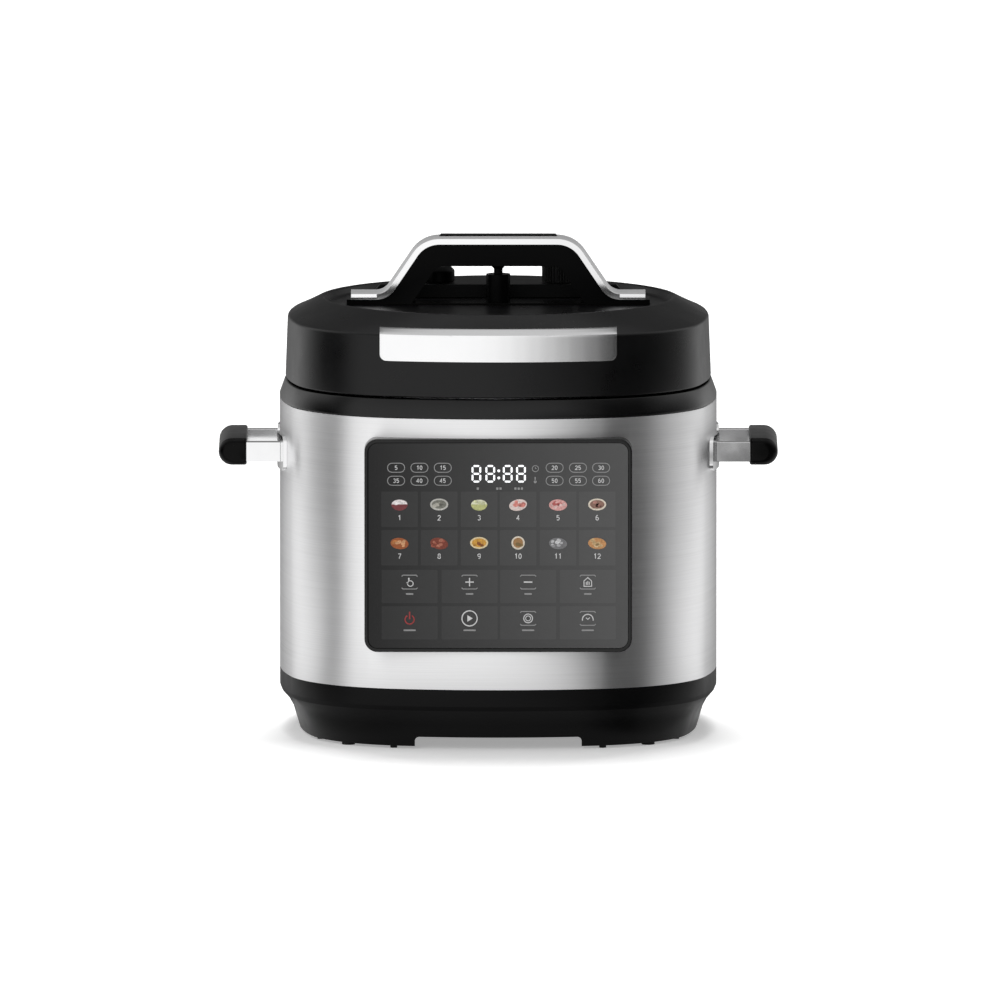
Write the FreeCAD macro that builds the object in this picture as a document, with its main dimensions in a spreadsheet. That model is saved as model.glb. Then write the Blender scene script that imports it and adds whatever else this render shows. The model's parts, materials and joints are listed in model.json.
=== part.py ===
import FreeCAD, Part
import Sketcher
import math
import os

# Electric pressure cooker, built as separate pieces in one frame.
# Millimetres, +Z up, front (control panel) towards -Y, origin on the floor under the pot axis.

doc = FreeCAD.newDocument("PressureCooker")
sheet = doc.addObject("Spreadsheet::Sheet", "Dims")

SIZES = {
    # Plan of the body: a squared round of four flat flank arcs and four corner arcs
    "body_half": 150.0,
    "flank_radius": 310.0,
    "corner_radius": 96.0,
    # Base moulding, from the floor upwards
    "foot_height": 2.0,
    "skirt_height": 15.0,
    "flare_height": 6.0,
    "round_height": 5.0,
    "round_rise": 3.0,
    "band_height": 11.7,
    "rim_inset": 13.5,
    "knee_inset": 9.0,
    "flare_inset": 5.7,
    "round_inset": 1.2,
    "base_wall": 3.0,
    "notch_width": 114.0,
    "notch_height": 6.7,
    "notch_round": 3.0,
    "ledge_rise": 11.0,
    "ledge_thickness": 2.0,
    "ledge_width": 11.0,
    "foot_inset": 19.5,
    "foot_boss_radius": 5.5,
    "foot_boss_gap": 0.5,
    "pad_radius": 4.5,
    "stud_radius": 2.4,
    "stud_near_angle": 17.5,
    "pad_angle": 45.0,
    "stud_far_angle": 73.0,
    # Bottom cover and its screws
    "cover_gap": 0.5,
    "cover_thickness": 2.0,
    "vent_length": 44.0,
    "vent_width": 4.0,
    "vent_pitch": 10.0,
    "vent_centre": 45.0,
    "screw_inset": 22.0,
    "screw_angle_near": 31.0,
    "screw_angle_far": 59.0,
    "screw_shank": 1.7,
    "screw_head": 3.6,
    "screw_head_height": 2.2,
    "screw_bite": 7.0,
    "screw_gap": 0.2,
    # Steel sleeve and the laps that locate it
    "steel_height": 186.1,
    "steel_thickness": 1.0,
    "lap_height": 7.0,
    "lap_gap": 0.3,
    "lap_thickness": 2.0,
    # Collar
    "collar_lip_height": 2.7,
    "collar_bevel_height": 10.2,
    "collar_bevel_inset": 3.7,
    "collar_well_gap": 2.5,
    "collar_well_depth": 6.7,
    "collar_ledge_thickness": 4.0,
    "collar_bore_gap": 0.6,
    # Outer pot with its bayonet flange
    "pot_room": 39.0,
    "pot_wall": 1.5,
    "pot_corner": 20.0,
    "pot_corner_fold": 6.0,
    "pot_gap": 1.5,
    "outer_pot_wall": 1.2,
    "outer_pot_lift": 7.3,
    "outer_pot_hole_gap": 2.0,
    "bead_width": 2.8,
    "bead_height": 2.0,
    "flange_rise": 3.9,
    "flange_thickness": 3.2,
    "flange_width": 4.8,
    "lug_width": 6.5,
    "lug_count": 6.0,
    "lug_angle": 24.0,
    # Heater, sensor and switch under the pot
    "heater_gap": 0.3,
    "heater_thickness": 12.0,
    "heater_edge": 10.0,
    "sensor_hole_gap": 0.5,
    "groove_radius": 75.0,
    "groove_half": 4.2,
    "groove_depth": 8.0,
    "element_radius": 3.6,
    "element_lift": 4.0,
    "terminal_radius": 2.5,
    "terminal_length": 18.0,
    "terminal_spread": 14.0,
    "terminal_gap": 1.2,
    "sensor_radius": 15.5,
    "sensor_height": 19.0,
    "sensor_wall": 2.0,
    "sensor_flange": 1.6,
    "sensor_flange_height": 2.0,
    "holder_gap": 0.6,
    "holder_wall": 2.5,
    "holder_depth": 16.0,
    "holder_floor": 2.0,
    "sensor_spring_radius": 8.0,
    "sensor_spring_wire": 0.6,
    "sensor_spring_pitch": 4.0,
    "spring_seat_gap": 0.15,
    "shield_gap": 6.3,
    "shield_thickness": 0.8,
    "shield_foot": 10.0,
    "bracket_length": 120.0,
    "bracket_width": 14.0,
    "bracket_thickness": 1.5,
    "bracket_drop": 8.5,
    "bracket_place": 48.0,
    "bracket_spacer": 4.0,
    "bracket_inset": 6.0,
    "switch_length": 20.0,
    "switch_width": 10.0,
    "switch_height": 7.0,
    "fuse_radius": 3.0,
    "fuse_length": 26.0,
    "fuse_place": 46.0,
    # Power board on posts of the bottom cover
    "board_lift": 9.0,
    "board_length": 110.0,
    "board_width": 58.0,
    "board_room": 78.0,
    "board_thickness": 1.6,
    "board_inset": 6.0,
    "post_radius": 3.5,
    "relay_length": 22.0,
    "relay_width": 16.0,
    "relay_height": 16.0,
    "choke_length": 26.0,
    "choke_height": 18.0,
    "capacitor_radius": 7.0,
    "capacitor_height": 17.0,
    "block_spacing": 34.0,
    # Control panel on the front
    "panel_stand": 3.5,
    "panel_half": 91.4,
    "panel_head": 13.1,
    "panel_height": 146.3,
    "panel_round": 9.0,
    "panel_border": 2.7,
    "glass_thickness": 1.6,
    "tub_border": 7.0,
    "tub_wall": 2.0,
    "tub_depth": 27.0,
    "tub_gap": 0.5,
    "control_board_inset": 4.0,
    "control_board_depth": 12.0,
    "standoff_radius": 3.0,
    "standoff_inset": 8.0,
    "display_half": 26.0,
    "display_low": 109.0,
    "display_height": 22.0,
    "display_gap": 0.4,
    # Mains inlet on the back
    "inlet_height": 25.0,
    "inlet_flange_half": 24.0,
    "inlet_flange_tall": 13.0,
    "inlet_body_half": 15.5,
    "inlet_body_tall": 10.5,
    "inlet_depth": 21.0,
    "inlet_mouth_half": 12.2,
    "inlet_mouth_tall": 8.2,
    "inlet_mouth_depth": 17.0,
    "inlet_corner": 4.5,
    "pin_half": 2.0,
    "pin_thin": 1.0,
    "pin_reach": 11.5,
    "pin_tail": 8.0,
    "pin_spacing": 7.0,
    "earth_drop": 4.0,
    # Side carrying handles
    "side_handle_z": 194.7,
    "bar_height": 13.4,
    "bar_thickness": 9.0,
    "bar_place": 40.0,
    "bar_sunk": 4.0,
    "grip_reach": 41.8,
    "grip_thickness": 19.5,
    "grip_height": 18.5,
    "grip_length": 94.0,
    "grip_round": 8.0,
    "ear_height": 24.0,
    "ear_length": 34.0,
    "ear_thickness": 2.6,
    "ear_round": 5.0,
    "bolt_shank": 2.5,
    "bolt_head": 4.5,
    "bolt_head_height": 3.0,
    "bolt_bite": 10.0,
    "bolt_gap": 0.15,
    "bolt_seat_gap": 0.2,
    # Lid shell
    "lid_gap": 1.2,
    "lid_edge_inset": 3.9,
    "lid_shoulder_inset": 5.5,
    "lid_wall_height": 42.3,
    "shoulder_height": 12.3,
    "lid_rim_room": 27.7,
    "dish_depth": 4.9,
    "dish_rim": 2.8,
    "dish_slope": 2.4,
    "lid_wall": 3.0,
    "lid_ceiling_inset": 8.3,
    "badge_half": 81.0,
    "badge_thickness": 1.2,
    "shoulder_share": 0.6,
    "rim_share": 0.5,
    "badge_drop": 17.6,
    "badge_rise": 5.2,
    "badge_round": 4.5,
    # Steel pressure lid under the shell
    "lid_plate_rise": 4.4,
    "lid_plate_thickness": 1.5,
    "lid_skirt_wall": 2.0,
    "lid_skirt_gap": 1.5,
    "lug_gap": 0.6,
    "lid_lug_thickness": 2.8,
    "lid_lug_reach": 6.0,
    "lid_boss_inset": 19.0,
    "lid_boss_radius": 5.0,
    "lid_boss_angle": 45.0,
    # Inner cover with its seal, hung on the centre tube
    "tube_radius": 8.0,
    "tube_bore": 4.6,
    "tube_flange": 3.0,
    "tube_flange_height": 3.0,
    "tube_flange_gap": 0.4,
    "nut_width": 4.0,
    "nut_height": 5.0,
    "cover_drop": 7.3,
    "cover_plate": 1.2,
    "cover_bush_wall": 4.0,
    "cover_bush_height": 3.5,
    "running_gap": 0.08,
    "seal_outer_gap": 0.6,
    "seal_width": 7.4,
    "seal_grip": 3.0,
    "seal_drop": 1.6,
    "seal_head_gap": 0.4,
    "steam_hole": 3.0,
    "steam_hole_place": 45.0,
    "steam_hole_count": 12.0,
    # Lid handle: silver strap over a black core
    "strap_room": 21.3,
    "strap_knee": 75.6,
    "strap_top_half": 49.9,
    "strap_rise": 42.0,
    "strap_foot": 3.7,
    "strap_thickness": 4.0,
    "strap_depth": 28.0,
    "strap_round": 18.0,
    "strap_foot_round": 12.0,
    "core_depth": 25.0,
    "core_thickness": 15.0,
    "core_end": 3.0,
    "core_leg_top": 41.9,
    "core_leg_foot": 60.0,
    "core_round": 8.0,
    "web_thickness": 1.2,
    "handle_screw_bite": 3.0,
    # Steam release button with rod, post, spring and seal
    "button_half": 40.0,
    "button_depth": 10.0,
    "button_proud": 2.0,
    "button_height": 7.0,
    "button_gap": 0.5,
    "button_stroke": 3.0,
    "button_spare": 3.5,
    "rod_radius": 3.0,
    "rod_collar": 5.4,
    "rod_collar_height": 2.6,
    "rod_collar_gap": 0.3,
    "post_outer": 8.25,
    "post_bore_gap": 0.08,
    "post_clear": 0.6,
    "post_cut": 2.0,
    "seal_disc": 7.5,
    "seal_disc_height": 3.0,
    "seal_disc_gap": 0.2,
    "button_spring_radius": 4.6,
    "button_spring_wire": 0.45,
    "button_spring_pitch": 2.0,
    # Valves on the raised rear deck
    "valve_place_x": 41.0,
    "valve_place_y": 46.0,
    "deck_front": 32.0,
    "deck_arc": 92.0,
    "deck_height": 9.5,
    "deck_half": 90.0,
    "deck_slope": 9.0,
    "deck_hole_gap": 0.4,
    "pipe_radius": 4.0,
    "pipe_bore": 1.5,
    "pipe_top": 9.0,
    "pipe_nut": 7.0,
    "pipe_nut_height": 4.0,
    "pipe_foot": 2.0,
    "knob_radius": 11.0,
    "knob_height": 16.0,
    "knob_gap": 0.5,
    "knob_bevel": 1.5,
    "knob_rib": 0.8,
    "knob_rib_count": 36.0,
    "knob_cap": 4.0,
    "shield_cup_radius": 10.0,
    "shield_cup_depth": 5.4,
    "shield_cup_wall": 0.8,
    "float_radius": 2.5,
    "float_cap_radius": 11.0,
    "float_cap_height": 11.0,
    "float_cap_bevel": 3.0,
    "float_gap": 0.5,
    "float_stroke": 4.0,
    "float_seal_radius": 5.0,
    "float_seal_height": 1.4,
    "float_seal_gap": 0.3,
}


class Size:
    """A length with its value now and the sheet expression that drives it."""

    def __init__(self, value, text):
        self.value = value
        self.text = text

    def __add__(self, other):
        other = as_size(other)
        return Size(self.value + other.value, "(%s + %s)" % (self.text, other.text))

    def __radd__(self, other):
        return as_size(other) + self

    def __sub__(self, other):
        other = as_size(other)
        return Size(self.value - other.value, "(%s - %s)" % (self.text, other.text))

    def __rsub__(self, other):
        return as_size(other) - self

    def __mul__(self, other):
        other = as_size(other)
        return Size(self.value * other.value, "(%s * %s)" % (self.text, other.text))

    def __rmul__(self, other):
        return as_size(other) * self

    def __truediv__(self, other):
        other = as_size(other)
        return Size(self.value / other.value, "(%s / %s)" % (self.text, other.text))

    def __neg__(self):
        return Size(-self.value, "(0 - %s)" % self.text)

    def root(self):
        return Size(math.sqrt(self.value), "sqrt(%s)" % self.text)

    def sine(self):
        return Size(math.sin(math.radians(self.value)), "sin(%s * 1 deg)" % self.text)

    def cosine(self):
        return Size(math.cos(math.radians(self.value)), "cos(%s * 1 deg)" % self.text)


def as_size(number):
    if isinstance(number, Size):
        return number
    return Size(float(number), "%g" % number)


class Named:
    """The sheet's sizes, reached by name."""


d = Named()
for row, (alias, value) in enumerate(SIZES.items(), start=1):
    sheet.set("A%d" % row, alias)
    sheet.set("B%d" % row, "%g" % value)
    sheet.setAlias("B%d" % row, alias)
    setattr(d, alias, Size(value, "Dims.%s" % alias))
doc.recompute()

ZERO = as_size(0)
OVER = as_size(1)
pieces = []


def bind(obj, prop, size):
    obj.setExpression(prop, as_size(size).text)


def place(obj, x=ZERO, y=ZERO, z=ZERO):
    for axis, size in zip("xyz", (x, y, z)):
        bind(obj, "Placement.Base." + axis, size)
    return obj


def piece(name, obj):
    """Name a finished piece; its name is also its file name."""
    obj.Label = name
    pieces.append(obj)
    return obj


# Sketch helpers

def pin_point(sketch, geo, end, x, y):
    """Hold one end of a sketch curve at a place driven by the sheet."""
    for kind, axis, size in (("DistanceX", -2, x), ("DistanceY", -1, y)):
        size = as_size(size)
        if size.text == ZERO.text:
            sketch.addConstraint(Sketcher.Constraint("PointOnObject", geo, end, axis))
        else:
            index = sketch.addConstraint(Sketcher.Constraint(kind, -1, 1, geo, end, size.value))
            sketch.setExpression("Constraints[%d]" % index, size.text)


def polygon(sketch, points):
    """Closed outline of straight lines, every corner driven by the sheet."""
    corners = [FreeCAD.Vector(as_size(x).value, as_size(y).value, 0) for x, y in points]
    first = sketch.GeometryCount
    count = len(points)
    for i in range(count):
        sketch.addGeometry(Part.LineSegment(corners[i], corners[(i + 1) % count]))
    for i in range(count):
        following = first + (i + 1) % count
        sketch.addConstraint(Sketcher.Constraint("Coincident", first + i, 2, following, 1))
    for i, (x, y) in enumerate(points):
        pin_point(sketch, first + i, 1, x, y)


def arc_loop(sketch, joints, middles, radii):
    """Closed outline of arcs between driven joints, each with its driven radius."""
    spots = [FreeCAD.Vector(x.value, y.value, 0) for x, y in joints]
    crowns = [FreeCAD.Vector(x.value, y.value, 0) for x, y in middles]
    count = len(joints)
    for i in range(count):
        sketch.addGeometry(Part.Arc(spots[i], crowns[i], spots[(i + 1) % count]))
    for i in range(count):
        sketch.addConstraint(Sketcher.Constraint("Coincident", i, 2, (i + 1) % count, 1))
    for i in range(count):
        pin_point(sketch, i, 1, joints[i][0], joints[i][1])
        index = sketch.addConstraint(Sketcher.Constraint("Radius", i, radii[i].value))
        sketch.setExpression("Constraints[%d]" % index, radii[i].text)


# Plan of the body: centres of the flank and corner arcs, shared by every inset outline
flank_shift = d.flank_radius - d.body_half
arc_step = d.flank_radius - d.corner_radius
corner_centre = ((2 * arc_step * arc_step - flank_shift * flank_shift).root() - flank_shift) / 2
QUARTERS = ((1, -1), (1, 1), (-1, 1), (-1, -1))


def turn_point(x, y, quarter):
    """Turn a point of the front quarter about Z by whole quarters."""
    for _ in range(quarter):
        x, y = -y, x
    return (x, y)


def plan_sketch(name, inset, z):
    """Squared round outline, inset from the body's own outline, lying at height z."""
    inset = as_size(inset)
    flank = d.flank_radius - inset
    corner = d.corner_radius - inset
    joint_x = flank * corner_centre / arc_step
    joint_y = flank_shift - flank * (corner_centre + flank_shift) / arc_step
    crown = corner_centre + corner / math.sqrt(2)
    joints = []
    middles = []
    radii = []
    for quarter in range(4):
        joints.append(turn_point(-joint_x, joint_y, quarter))
        middles.append(turn_point(ZERO, inset - d.body_half, quarter))
        radii.append(flank)
        joints.append(turn_point(joint_x, joint_y, quarter))
        middles.append(turn_point(crown, -crown, quarter))
        radii.append(corner)
    sketch = doc.addObject("Sketcher::SketchObject", name)
    arc_loop(sketch, joints, middles, radii)
    return place(sketch, z=z)


def round_sketch(name, radius, z):
    """Circle split at the same directions as the body's outline, so the two can be lofted."""
    joint_x = d.flank_radius * corner_centre / arc_step
    joint_y = d.flank_radius * (corner_centre + flank_shift) / arc_step - flank_shift
    reach = (joint_x * joint_x + joint_y * joint_y).root()
    diagonal = radius / math.sqrt(2)
    joints = []
    middles = []
    for quarter in range(4):
        joints.append(turn_point(-radius * joint_x / reach, -radius * joint_y / reach, quarter))
        middles.append(turn_point(ZERO, -radius, quarter))
        joints.append(turn_point(radius * joint_x / reach, -radius * joint_y / reach, quarter))
        middles.append(turn_point(diagonal, -diagonal, quarter))
    sketch = doc.addObject("Sketcher::SketchObject", name)
    arc_loop(sketch, joints, middles, [radius] * len(joints))
    return place(sketch, z=z)


# Solid helpers

def loft(name, sections):
    solid = doc.addObject("Part::Loft", name)
    solid.Sections = sections
    solid.Solid = True
    solid.Ruled = True
    return solid


def extrude(name, sketch, length, both_ways=False):
    solid = doc.addObject("Part::Extrusion", name)
    solid.Base = sketch
    solid.DirMode = "Normal"
    solid.Solid = True
    solid.Symmetric = both_ways
    bind(solid, "LengthFwd", length)
    return solid


def plan_prism(name, inset, low, high):
    return extrude(name, plan_sketch(name + "_plan", inset, low), high - low)


def box(name, x_range, y_range, z_range):
    solid = doc.addObject("Part::Box", name)
    ranges = [[as_size(end) for end in pair] for pair in (x_range, y_range, z_range)]
    for prop, (low, high) in zip(("Length", "Width", "Height"), ranges):
        bind(solid, prop, high - low)
    return place(solid, *[low for low, high in ranges])


def cylinder(name, radius, low, high, x=ZERO, y=ZERO):
    solid = doc.addObject("Part::Cylinder", name)
    bind(solid, "Radius", radius)
    bind(solid, "Height", as_size(high) - low)
    return place(solid, x, y, low)


def cylinder_x(name, radius, low, high, y, z):
    """Cylinder lying along X from low to high."""
    solid = doc.addObject("Part::Cylinder", name)
    bind(solid, "Radius", radius)
    bind(solid, "Height", as_size(high) - low)
    solid.Placement.Rotation = FreeCAD.Rotation(FreeCAD.Vector(0, 1, 0), 90)
    return place(solid, low, y, z)


def cut(name, base, *tools):
    for index, tool in enumerate(tools):
        step = doc.addObject("Part::Cut", "%s_cut%d" % (name, index))
        step.Base = base
        step.Tool = tool
        base = step
    return base


def fuse(name, *shapes):
    solid = doc.addObject("Part::MultiFuse", name)
    solid.Shapes = list(shapes)
    return solid


def common(name, *shapes):
    solid = doc.addObject("Part::MultiCommon", name)
    solid.Shapes = list(shapes)
    return solid


def group(name, shapes):
    """Several like solids that make one piece."""
    solid = doc.addObject("Part::Compound", name)
    solid.Links = shapes
    return solid


def mirror_x(name, source):
    solid = doc.addObject("Part::Mirroring", name)
    solid.Source = source
    solid.Normal = FreeCAD.Vector(1, 0, 0)
    return solid


def round_edges(name, base, choose):
    """Fillet the edges for which choose gives a size, with that size as radius."""
    doc.recompute()
    edges = []
    for index, edge in enumerate(base.Shape.Edges, start=1):
        radius = choose(edge)
        if radius:
            edges.append((index, radius.value, radius.value))
    solid = doc.addObject("Part::Fillet", name)
    solid.Base = base
    solid.Edges = edges
    return solid


def lies_along(edge, axis):
    """True for a straight edge parallel to an axis."""
    if edge.Curve.TypeId != "Part::GeomLine":
        return False
    start, end = edge.Vertexes[0].Point, edge.Vertexes[-1].Point
    run = end - start
    return abs(run.normalize().dot(axis)) > 0.999


ALONG_X = FreeCAD.Vector(1, 0, 0)
ALONG_Y = FreeCAD.Vector(0, 1, 0)
ALONG_Z = FreeCAD.Vector(0, 0, 1)


def side_sketch(name, points, y=ZERO):
    """Outline in the XZ plane at depth y; extruding it runs along Y."""
    sketch = doc.addObject("Sketcher::SketchObject", name)
    polygon(sketch, points)
    sketch.Placement.Rotation = FreeCAD.Rotation(ALONG_X, 90)
    return place(sketch, y=y)


def body_sketch(body, name, role):
    plane = [item for item in body.Origin.OriginFeatures if item.Role == role][0]
    sketch = body.newObject("Sketcher::SketchObject", name)
    sketch.AttachmentSupport = (plane, [""])
    sketch.MapMode = "FlatFace"
    return sketch


def turned(name, profile):
    """Body of revolution about Z from an outline of (radius, height) corners."""
    body = doc.addObject("PartDesign::Body", name + "_body")
    sketch = body_sketch(body, name + "_profile", "XZ_Plane")
    polygon(sketch, profile)
    turn = body.newObject("PartDesign::Revolution", name + "_turn")
    turn.Profile = sketch
    turn.ReferenceAxis = (sketch, ["V_Axis"])
    turn.Angle = 360
    return body


def add_pattern(body, name, feature, count):
    """Repeat a feature round the body's Z axis."""
    axis = [item for item in body.Origin.OriginFeatures if item.Role == "Z_Axis"][0]
    pattern = body.newObject("PartDesign::PolarPattern", name)
    pattern.Originals = [feature]
    pattern.Axis = (axis, [""])
    pattern.Angle = 360
    bind(pattern, "Occurrences", count)
    body.Tip = pattern
    doc.recompute()


def add_lugs(body, name, inner, outer, low, high):
    """Ring of bayonet lugs round a turned body."""
    sketch = body_sketch(body, name + "_lug_outline", "XZ_Plane")
    polygon(sketch, [(inner, low), (outer, low), (outer, high), (inner, high)])
    lug = body.newObject("PartDesign::Revolution", name + "_lug")
    lug.Profile = sketch
    lug.ReferenceAxis = (sketch, ["V_Axis"])
    lug.Midplane = True
    bind(lug, "Angle", d.lug_angle)
    doc.recompute()
    add_pattern(body, name + "_lugs", lug, d.lug_count)


def add_holes(body, name, radius, distance, count):
    """Ring of through holes in a turned body."""
    sketch = body_sketch(body, name + "_hole_outline", "XY_Plane")
    sketch.addGeometry(Part.Circle(FreeCAD.Vector(distance.value, 0, 0), ALONG_Z, radius.value))
    pin_point(sketch, 0, 3, distance, ZERO)
    index = sketch.addConstraint(Sketcher.Constraint("Radius", 0, radius.value))
    sketch.setExpression("Constraints[%d]" % index, radius.text)
    hole = body.newObject("PartDesign::Pocket", name + "_hole")
    hole.Profile = sketch
    hole.Type = "ThroughAll"
    hole.Midplane = True
    doc.recompute()
    add_pattern(body, name + "_holes", hole, count)


def coil(name, radius, wire, pitch, low, high):
    """Open coil spring about Z between two heights."""
    spine = doc.addObject("Part::Helix", name + "_spine")
    bind(spine, "Radius", radius)
    bind(spine, "Pitch", pitch)
    bind(spine, "Height", high - low - 2 * wire)
    place(spine, z=low + wire)
    ring = doc.addObject("Part::Circle", name + "_wire")
    bind(ring, "Radius", wire)
    ring.Placement.Rotation = FreeCAD.Rotation(ALONG_X, 90)
    place(ring, radius, ZERO, low + wire)
    solid = doc.addObject("Part::Sweep", name)
    solid.Sections = [ring]
    solid.Spine = (spine, [])
    solid.Solid = True
    solid.Frenet = True
    return solid


def screw(name, x, y, head_low, head_high, tip, head=d.screw_head, shank=d.screw_shank):
    """Screw along Z: head between two heights, shank on to the tip."""
    top = cylinder(name + "_head", head, head_low, head_high, x, y)
    low, high = (head_high, tip) if tip.value > head_high.value else (tip, head_low)
    stem = cylinder(name + "_shank", shank, low, high, x, y)
    return fuse(name, top, stem)


# Heights shared by several pieces
rim_z = d.foot_height
knee_z = rim_z + d.skirt_height
flare_z = knee_z + d.flare_height
round_z = flare_z + d.round_height
band_z = round_z + d.round_rise
steel_z = band_z + d.band_height
ledge_z = rim_z + d.ledge_rise
ledge_top_z = ledge_z + d.ledge_thickness
cover_z = ledge_z - d.cover_thickness
collar_z = steel_z + d.steel_height
collar_lip_z = collar_z + d.collar_lip_height
collar_top_z = collar_lip_z + d.collar_bevel_height
well_z = collar_top_z - d.collar_well_depth
pot_floor_z = steel_z + d.outer_pot_lift
pot_floor_top_z = pot_floor_z + d.outer_pot_wall
flange_top_z = collar_top_z + d.flange_rise
flange_low_z = flange_top_z - d.flange_thickness
heater_top_z = pot_floor_top_z + d.heater_thickness
pot_low_z = heater_top_z + d.heater_gap
lid_z = collar_top_z + d.lid_gap
shoulder_z = lid_z + d.lid_wall_height
lid_top_z = shoulder_z + d.shoulder_height
deck_z = lid_top_z - d.dish_depth
ceiling_z = deck_z - d.lid_wall
plate_z = flange_top_z + d.lid_plate_rise
plate_top_z = plate_z + d.lid_plate_thickness

# Radii shared by several pieces
pot_radius = d.body_half - d.pot_room
pot_outer = pot_radius + d.pot_wall
shell_inner = pot_outer + d.pot_gap
shell_outer = shell_inner + d.outer_pot_wall
flange_radius = shell_outer + d.flange_width
lug_radius = flange_radius + d.lug_width
skirt_inner = lug_radius + d.lid_skirt_gap
skirt_outer = skirt_inner + d.lid_skirt_wall
well_radius = skirt_outer + d.collar_well_gap
shield_radius = shell_outer + d.shield_gap
lid_rim_radius = d.body_half - d.lid_rim_room
lid_ceiling_radius = lid_rim_radius - d.lid_ceiling_inset
strap_half = lid_rim_radius - d.strap_room
handle_screw_place = (strap_half + d.strap_knee) / 2


def on_corner(inset, angle):
    """Point on the corner arc of an inset outline, by angle from the front."""
    radius = d.corner_radius - inset
    return corner_centre + radius * angle.sine(), corner_centre + radius * angle.cosine()


def four_ways(x, y):
    return [(x * sx, y * sy) for sx, sy in QUARTERS]


# Base moulding
base_outer = loft("base_outer", [
    plan_sketch("base_rim", d.rim_inset, rim_z),
    plan_sketch("base_knee", d.knee_inset, knee_z),
    plan_sketch("base_flare", d.flare_inset, flare_z),
    plan_sketch("base_round", d.round_inset, round_z),
    plan_sketch("base_band", ZERO, band_z),
    plan_sketch("base_top", ZERO, steel_z),
])
lap_inset = d.steel_thickness + d.lap_gap
base_lap = plan_prism("base_lap", lap_inset, band_z, steel_z + d.lap_height)
base_under = plan_prism("base_under", d.rim_inset + d.base_wall, ZERO, ledge_z)
base_inside = loft("base_inside", [
    plan_sketch("base_inside_low", d.rim_inset + d.base_wall, ledge_top_z),
    plan_sketch("base_inside_flare", d.flare_inset + d.base_wall, flare_z),
    plan_sketch("base_inside_band", lap_inset + d.lap_thickness, band_z),
    plan_sketch("base_inside_top", lap_inset + d.lap_thickness, steel_z + d.lap_height + OVER),
])
base_eye = plan_prism("base_eye", d.rim_inset + d.base_wall + d.ledge_width, ledge_z - OVER,
                      ledge_top_z + OVER)
notch_box = box("notch_box", (-d.notch_width / 2, d.notch_width / 2),
                (-d.body_half, d.body_half), (-OVER, rim_z + d.notch_height))
notch_top = (rim_z + d.notch_height).value
notch = round_edges("notch", notch_box, lambda edge: d.notch_round if lies_along(edge, ALONG_Y)
                    and edge.BoundBox.ZMin > notch_top - OVER.value else None)
foot_spots = []
for angle, radius in ((d.stud_near_angle, d.stud_radius), (d.pad_angle, d.pad_radius),
                      (d.stud_far_angle, d.stud_radius)):
    for x, y in four_ways(*on_corner(d.foot_inset, angle)):
        foot_spots.append((x, y, radius))
foot_bosses = [cylinder("foot_boss%d" % i, d.foot_boss_radius, rim_z, cover_z - d.foot_boss_gap, x, y)
               for i, (x, y, radius) in enumerate(foot_spots)]
screw_spots = []
for angle in (d.screw_angle_near, d.screw_angle_far):
    screw_spots += four_ways(*on_corner(d.screw_inset, angle))
ledge_holes = group("ledge_holes", [
    cylinder("ledge_hole%d" % i, d.screw_shank + d.screw_gap, cover_z - OVER, ledge_top_z + OVER, x, y)
    for i, (x, y) in enumerate(screw_spots)])
base_hollow = cut("base_hollow", fuse("base_block", base_outer, base_lap),
                  base_under, base_inside, base_eye, notch, ledge_holes)
piece("base_shell", fuse("base_shell", base_hollow, *foot_bosses))

piece("rubber_feet", group("rubber_feet", [
    cylinder("foot%d" % i, radius, ZERO, rim_z, x, y) for i, (x, y, radius) in enumerate(foot_spots)]))

# Bottom cover with vents and the posts of the power board
cover_plate = plan_prism("cover_plate", d.rim_inset + d.base_wall + d.cover_gap, cover_z, ledge_z)
board_z = ledge_z + d.board_lift
board_x = d.board_length / 2
board_place = d.board_room - d.body_half
board_low_y = board_place - d.board_width / 2
board_high_y = board_place + d.board_width / 2
board_posts = [
    cylinder("board_post%d" % i, d.post_radius, cover_z, board_z, x, y) for i, (x, y) in enumerate([
        (sign * (board_x - d.board_inset), edge)
        for sign in (-1, 1)
        for edge in (board_low_y + d.board_inset, board_high_y - d.board_inset)])]
vents = group("vents", [
    box("vent%d" % i, (-d.vent_length / 2, d.vent_length / 2),
        (d.vent_centre + d.vent_pitch * i - d.vent_width / 2,
         d.vent_centre + d.vent_pitch * i + d.vent_width / 2),
        (cover_z - OVER, ledge_z + OVER))
    for i in range(-3, 4)])
cover_holes = group("cover_holes", [
    cylinder("cover_hole%d" % i, d.screw_shank + d.screw_gap, cover_z - OVER, ledge_z + OVER, x, y)
    for i, (x, y) in enumerate(screw_spots)])
piece("bottom_cover", cut("bottom_cover", fuse("cover_block", cover_plate, *board_posts),
                          vents, cover_holes))
piece("bottom_screws", group("bottom_screws", [
    screw("bottom_screw%d" % i, x, y, cover_z - d.screw_head_height, cover_z, cover_z + d.screw_bite)
    for i, (x, y) in enumerate(screw_spots)]))

# Power board and what stands on it
piece("power_board", box("power_board", (-board_x, board_x), (board_low_y, board_high_y),
                         (board_z, board_z + d.board_thickness)))
parts_z = board_z + d.board_thickness
piece("board_parts", group("board_parts", [
    box("relay", (-d.block_spacing - d.relay_length / 2, d.relay_length / 2 - d.block_spacing),
        (board_place - d.relay_width / 2, board_place + d.relay_width / 2),
        (parts_z, parts_z + d.relay_height)),
    box("choke", (-d.choke_length / 2, d.choke_length / 2),
        (board_place - d.choke_length / 2, board_place + d.choke_length / 2),
        (parts_z, parts_z + d.choke_height)),
    cylinder("capacitor", d.capacitor_radius, parts_z, parts_z + d.capacitor_height,
             d.block_spacing, board_place),
]))

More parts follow.
